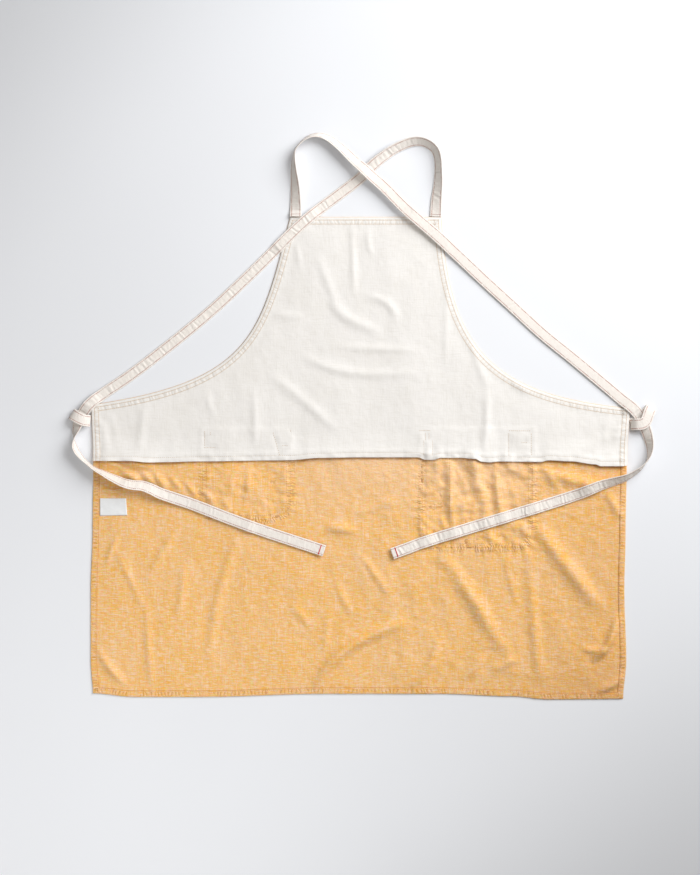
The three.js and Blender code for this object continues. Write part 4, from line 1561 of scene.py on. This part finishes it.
def strap_tape(route, ground_at, before_loop, after_loop, seed):
    """One strap on what it crosses: rolled, lifted and puckered along its route."""
    sheet = sizes()
    half = sheet["strap_width"] / 2
    curve, (lift, roll), along = curve_stations(route, 2, STRAP_STEP)
    lift, roll = smooth_run(lift, ROUTE_REACH), np.radians(smooth_run(roll, ROUTE_REACH))
    flat_run = unit(np.gradient(curve, axis=0))
    level = np.column_stack([flat_run[:, 1], -flat_run[:, 0], np.zeros(len(curve))])
    reach = half * np.maximum(np.abs(np.cos(roll)), LEAST_FOOT)
    felt = [ground_at(*(curve + level[:, :2] * (reach * share)[:, None]).T) for share in GROUND_SHARES]
    ground = smooth_run(widest_run(np.max(felt, axis=0), GROUND_NEARBY), GROUND_REACH)
    middle_z = ground + STRAP_GAP + lift + half * np.abs(np.sin(roll))
    middle_z += sheet["strap_thickness"] / 2 * np.abs(np.cos(roll))
    middles = np.column_stack([curve, middle_z])
    run = unit(np.gradient(middles, axis=0))
    across = level * np.cos(roll)[:, None] - np.cross(run, level) * np.sin(roll)[:, None]
    tape = Tape(middles, across, along, sheet["strap_width"], sheet["strap_thickness"])
    end = ease((along - along[-1] + TIE_END) / TIE_END_STEP)
    tape.thickness = tape.thickness * (1 + TIE_END_THICKER * end)
    strength = np.where(along / along[-1] < LOOP_SHARE, before_loop, after_loop)
    tape.pucker(strength * ease(along / PUCKER_START) * (1 - end), seed)
    return tape


def loop_tape(route):
    """A side loop: a short tape that leaves the side, folds over and comes back."""
    sheet = sizes()
    curve, (turn,), along = curve_stations(route, 3, LOOP_STEP)
    turn = np.radians(smooth_run(turn, LOOP_REACH))
    across = np.column_stack([np.cos(turn), np.sin(turn), np.zeros(len(turn))])
    return Tape(curve, across, along, sheet["loop_width"], sheet["loop_thickness"])


def surface_tree(name):
    """The finished mesh of a piece as a tree for finding heights, in pattern millimetres."""
    mesh = bpy.data.objects[name].data
    places = np.zeros(len(mesh.vertices) * 3)
    mesh.vertices.foreach_get("co", places)
    places = (places.reshape(-1, 3) - ORIGIN) / MM
    return BVHTree.FromPolygons(places.tolist(), [tuple(face.vertices) for face in mesh.polygons])


def heights_on(tree, x, y):
    """Heights of a surface seen from above, or the floor beside it."""
    down = Vector((0.0, 0.0, -1.0))
    hits = [tree.ray_cast(Vector((a, b, RAY_START)), down)[0] for a, b in zip(x, y)]
    return np.array([0.0 if hit is None else hit.z for hit in hits])


def inset_line(outline, depth, *names):
    """A line inside an outline's runs, for a row of stitches."""
    numbers = outline.run(*names)
    return outline.points[numbers] + outline.inward[numbers] * depth


class BodyPanel(bpy.types.Operator):
    """Lay the ochre panel with its turned hems and their stitches"""

    bl_idname = "apron.body_panel"
    bl_label = "Body panel"

    def execute(self, context):
        sheet = sizes()
        hems = BODY.run(*HEM_RUNS)
        places, faces = sheet_with_hem(
            BODY, BODY_ROWS, BODY_FIELD, body_middle, hems, sheet["hem_width"], 1
        )
        panel = make_piece("body_cloth", places, faces, "Ochre slub chambray")
        hem, hem_along = BODY.near(places[:, 0], places[:, 1], HEM_RUNS)
        pocket, pocket_along = nearest_pocket(places[:, 0], places[:, 1])
        keep_fields(
            panel,
            seam_in=hem * MM,
            seam_along=hem_along * MM,
            pocket_in=pocket * MM,
            pocket_along=pocket_along * MM,
            lining_in=(places[:, 1] - read_table(FREE_EDGE, places[:, 0])) * MM,
        )
        thicken(panel, sheet["body_thickness"])
        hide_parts("body_panel")
        self.sew(sheet)
        return {"FINISHED"}

    def sew(self, sheet):
        """Stitch the hems and the pockets' outlines, in ochre thread."""
        rows = Stitches()
        half = sheet["body_thickness"] / 2

        def cloth_face(x, y):
            return body_middle(x, y) + half

        def hem_face(x, y):
            return cloth_face(x, y) + 2 * FOLD_RADIUS

        rows.flat_row(inset_line(BODY, sheet["hem_width"] - HEM_STITCHES, *HEM_RUNS), hem_face)
        for edge in POCKET_EDGES.values():
            for depth in POCKET_STITCHES:
                line = inset_line(edge, depth, "sewn")
                line = line[line[:, 1] < read_table(FREE_EDGE, line[:, 0]) + STITCHES_COVERED]
                rows.flat_row(line, cloth_face)
        for place, top, bottom in POCKET_DIVIDERS:
            rows.flat_row(((place, top), (place, bottom)), cloth_face)
        rows.piece("skirt_stitches", "Ochre thread", "ochre_chambray")


class BibLining(bpy.types.Operator):
    """Lay the cream lining over the bib and waist, with its free hemmed edge and its stitches"""

    bl_idname = "apron.bib_lining"
    bl_label = "Bib lining"

    def execute(self, context):
        sheet = sizes()
        free = LINING.run("free edge")
        places, faces = sheet_with_hem(
            LINING, LINING_ROWS, LINING_FIELD, lining_middle, free, sheet["lining_hem"], -1
        )
        lining = make_piece("bib_lining_cloth", places, faces, "Cream cotton")
        seam, along = LINING.near(places[:, 0], places[:, 1], SEWN_RUNS + SIDE_RUNS)
        keep_fields(lining, seam_in=seam * MM, seam_along=along * MM)
        thicken(lining, sheet["lining_thickness"])
        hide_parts("bib_lining")
        self.sew(sheet)
        return {"FINISHED"}

    def sew(self, sheet):
        """Stitch the double seam, the free edge and the pockets' tacks, in cream thread."""
        rows = Stitches()
        half = sheet["lining_thickness"] / 2

        def cloth_face(x, y):
            return lining_middle(x, y) + half

        lines = [(depth, name) for depth in SEAM_ROWS for name in SEWN_RUNS]
        lines += [(FREE_STITCHES, "free edge")]
        lines += [(depth, name) for name in SIDE_RUNS for depth in SEAM_ROWS]
        for depth, name in lines:
            rows.flat_row(inset_line(LINING, depth, name), cloth_face)
        for start, end, pitch in LINING_TACKS:
            rows.flat_row((start, end), cloth_face, pitch, TACK_THREAD)
        rows.piece("lining_stitches", "Cream thread", "cream_cotton")


class PatchPockets(bpy.types.Operator):
    """Lay the two patch pockets under the body cloth"""

    bl_idname = "apron.patch_pockets"
    bl_label = "Patch pockets"

    def execute(self, context):
        thickness = sizes()["body_thickness"]
        for name, left, right, top, bottom, _, _ in POCKETS:
            edge = POCKET_EDGES[name]
            places, faces = fill_outline(edge, POCKET_ROWS, POCKET_FIELD)
            ripple = uneven(*places.T, POCKET_RIPPLE) + POCKET_RIPPLE[0]
            heights = FLOOR_GAP + thickness / 2 + ripple
            places = np.column_stack([places, heights])
            pocket = make_piece(f"{name}_cloth", places, faces, "Ochre slub chambray")
            thicken(pocket, thickness)
            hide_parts(name)
        return {"FINISHED"}


class SideLoops(bpy.types.Operator):
    """Fold the two side loops of tape that the straps pass through"""

    bl_idname = "apron.side_loops"
    bl_label = "Side loops"

    def execute(self, context):
        sheet = sizes()
        rows = Stitches()
        routes = (("side_loop_left", LOOP_LEFT_ROUTE), ("side_loop_right", LOOP_RIGHT_ROUTE))
        for number, (name, route) in enumerate(routes):
            tape = loop_tape(route)
            loop = tape.piece(f"{name}_tape", 3 + number)
            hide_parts(name)
            rows.tape_edges(tape)
        rows.piece("loop_stitches", "Strap thread", "cream_tape")
        return {"FINISHED"}


class Straps(bpy.types.Operator):
    """Lay the two crossing straps, which end as ties with red bars"""

    bl_idname = "apron.straps"
    bl_label = "Straps and ties"

    def execute(self, context):
        right = strap_tape(STRAP_RIGHT_ROUTE, cloth_top, *RIGHT_PUCKERS)
        self.finish_strap(right, "strap_right", 1)
        tree = surface_tree("strap_right_tape")

        def ground_at(x, y):
            return np.maximum(cloth_top(x, y), heights_on(tree, x, y))

        left = strap_tape(STRAP_LEFT_ROUTE, ground_at, *LEFT_PUCKERS)
        self.finish_strap(left, "strap_left", 2)
        self.sew(left, right)
        return {"FINISHED"}

    def finish_strap(self, tape, name, number):
        """Make one strap's piece and hide the part that it stands in for."""
        strap = tape.piece(f"{name}_tape", number)
        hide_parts(name)
        flat = (sizes()["strap_width"] * MM, tape.along[-1] * MM)

    def sew(self, *tapes):
        """Stitch both edges of the straps, their feet and the red bars on the tie ends."""
        edge_rows, bars = Stitches(), Stitches()
        for tape in tapes:
            edge_rows.tape_edges(tape)
            edge_rows.bar(tape, 1, *FOOT_BAR)
            bars.bar(tape, -1, *TIE_BAR)
        edge_rows.piece("strap_stitches", "Strap thread", "cream_tape")
        bars.piece("tie_bars", "Red thread", "cream_tape")


class CareLabel(bpy.types.Operator):
    """Lay the blank care label against the left hem"""

    bl_idname = "apron.care_label"
    bl_label = "Care label"

    def execute(self, context):
        sheet = sizes()
        lower_left, lower_right, upper_right, upper_left = (np.array(c, float) for c in LABEL_CORNERS)
        columns, lines = LABEL_GRID
        u, v = np.meshgrid(np.linspace(0, 1, columns), np.linspace(0, 1, lines))
        u, v = u.ravel()[:, None], v.ravel()[:, None]
        places = (lower_left * (1 - u) + lower_right * u) * (1 - v)
        places = places + (upper_left * (1 - u) + upper_right * u) * v
        curl = change(u[:, 0], *LABEL_CURL) + uneven(*places.T, LABEL_RUFFLE) * u[:, 0]
        rest = body_middle(*places.T) + hem_rise(*places.T) + sheet["body_thickness"] / 2
        rest = rest + LAYER_GAP + sheet["label_thickness"] / 2
        faces = []
        for line in range(lines - 1):
            for column in range(columns - 1):
                here = line * columns + column
                faces.append((here, here + 1, here + columns + 1, here + columns))
        heights = rest + np.maximum(curl, 0.0)
        label = make_piece("care_label_cloth", np.column_stack([places, heights]), faces, "Label satin")
        thicken(label, sheet["label_thickness"])
        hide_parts("care_label")
        return {"FINISHED"}


# Studio lights: name, place, aim, width, height, power in watts, colour
LIGHTS = (
    ("Key", (1.883, 1.58, 1.721), (0.0, 0.0, 0.0), 2.2, 2.2, 114.0, (1.0, 0.99, 0.98)),
    ("Bib fill", (0.40, 0.70, 0.90), (0.36, 1.0, 0.0), 1.4, 1.4, 3.4, (1.0, 0.985, 0.98)),
    ("Skirt fill", (-0.60, -0.80, 0.89), (-0.90, -0.59, 0.0), 1.2, 1.2, 6.5, (1.0, 0.985, 0.97)),
)
FLOOR_SIZE = 12.0
FLOOR_DEPTH = -0.0002
WORLD_SHADE = (1.12, 0.985, 0.84)
WORLD_STRENGTH = 0.13
FRAME_MIDDLE = (-0.0198, -0.0349)
SENSOR = 36.0


class SetStage(bpy.types.Operator):
    """Set the camera straight above, the pale floor and the soft lights"""

    bl_idname = "apron.set_stage"
    bl_label = "Stage"

    def execute(self, context):
        scene = context.scene
        scene.view_settings.view_transform = "Standard"
        self.add_camera(scene)
        self.add_floor(scene)
        for light in LIGHTS:
            self.add_light(scene, *light)
        world = bpy.data.worlds.new("Studio")
        world.use_nodes = True
        background = world.node_tree.nodes["Background"]
        background.inputs["Color"].default_value = (*WORLD_SHADE, 1.0)
        background.inputs["Strength"].default_value = WORLD_STRENGTH
        scene.world = world
        return {"FINISHED"}

    def add_camera(self, scene):
        """Look straight down at the frame of the photograph."""
        height = scene.apron_sizes.camera_height
        lens = bpy.data.cameras.new("Above")
        lens.sensor_width = SENSOR
        lens.lens = SENSOR * height / scene.apron_sizes.frame_height
        camera = bpy.data.objects.new("Above", lens)
        camera.location = (*FRAME_MIDDLE, height)
        scene.collection.objects.link(camera)
        scene.camera = camera

    def add_floor(self, scene):
        """Lay a wide plain floor just under the apron."""
        bpy.ops.object.select_all(action="DESELECT")
        bpy.ops.mesh.primitive_plane_add(size=FLOOR_SIZE, location=(0.0, 0.0, FLOOR_DEPTH))
        floor = bpy.context.active_object
        floor.name = "Floor"
        bpy.ops.object.transform_apply(location=True, rotation=True, scale=True)
        floor.data.materials.append(finish("Pale floor"))

    def add_light(self, scene, name, place, aim, width, height, power, colour):
        """Hang one soft panel light and turn it to its aim."""
        panel = bpy.data.lights.new(name, "AREA")
        panel.shape = "RECTANGLE"
        panel.size = width
        panel.size_y = height
        panel.energy = power
        panel.color = colour
        light = bpy.data.objects.new(name, panel)
        light.location = place
        light.visible_camera = False
        light.rotation_euler = (Vector(aim) - Vector(place)).to_track_quat("-Z", "Y").to_euler()
        scene.collection.objects.link(light)


class ApronPanel(bpy.types.Panel):
    """The apron's pieces, sizes and colours"""

    bl_idname = "VIEW3D_PT_apron"
    bl_label = "Apron"
    bl_space_type = "VIEW_3D"
    bl_region_type = "UI"
    bl_category = "Apron"

    def draw(self, context):
        for operator in OPERATORS:
            self.layout.operator(operator.bl_idname)
        for group in (context.scene.apron_sizes, context.scene.apron_colours):
            column = self.layout.column()
            for name in type(group).__annotations__:
                column.prop(group, name)


OPERATORS = (SetStage, PatchPockets, BodyPanel, BibLining, SideLoops, Straps, CareLabel)
CLASSES = (ApronSizes, ApronColours, *OPERATORS, ApronPanel)


def register():
    """Add the classes and the two groups of properties."""
    for item in CLASSES:
        bpy.utils.register_class(item)
    bpy.types.Scene.apron_sizes = bpy.props.PointerProperty(type=ApronSizes)
    bpy.types.Scene.apron_colours = bpy.props.PointerProperty(type=ApronColours)


def unregister():
    """Take the classes and properties away again."""
    del bpy.types.Scene.apron_colours
    del bpy.types.Scene.apron_sizes
    for item in reversed(CLASSES):
        bpy.utils.unregister_class(item)


def main():
    """Build the apron and its stage."""
    register()
    bpy.ops.apron.set_stage()
    bpy.ops.apron.patch_pockets()
    bpy.ops.apron.body_panel()
    bpy.ops.apron.bib_lining()
    bpy.ops.apron.side_loops()
    bpy.ops.apron.straps()
    bpy.ops.apron.care_label()


if __name__ == "__main__":
    main()
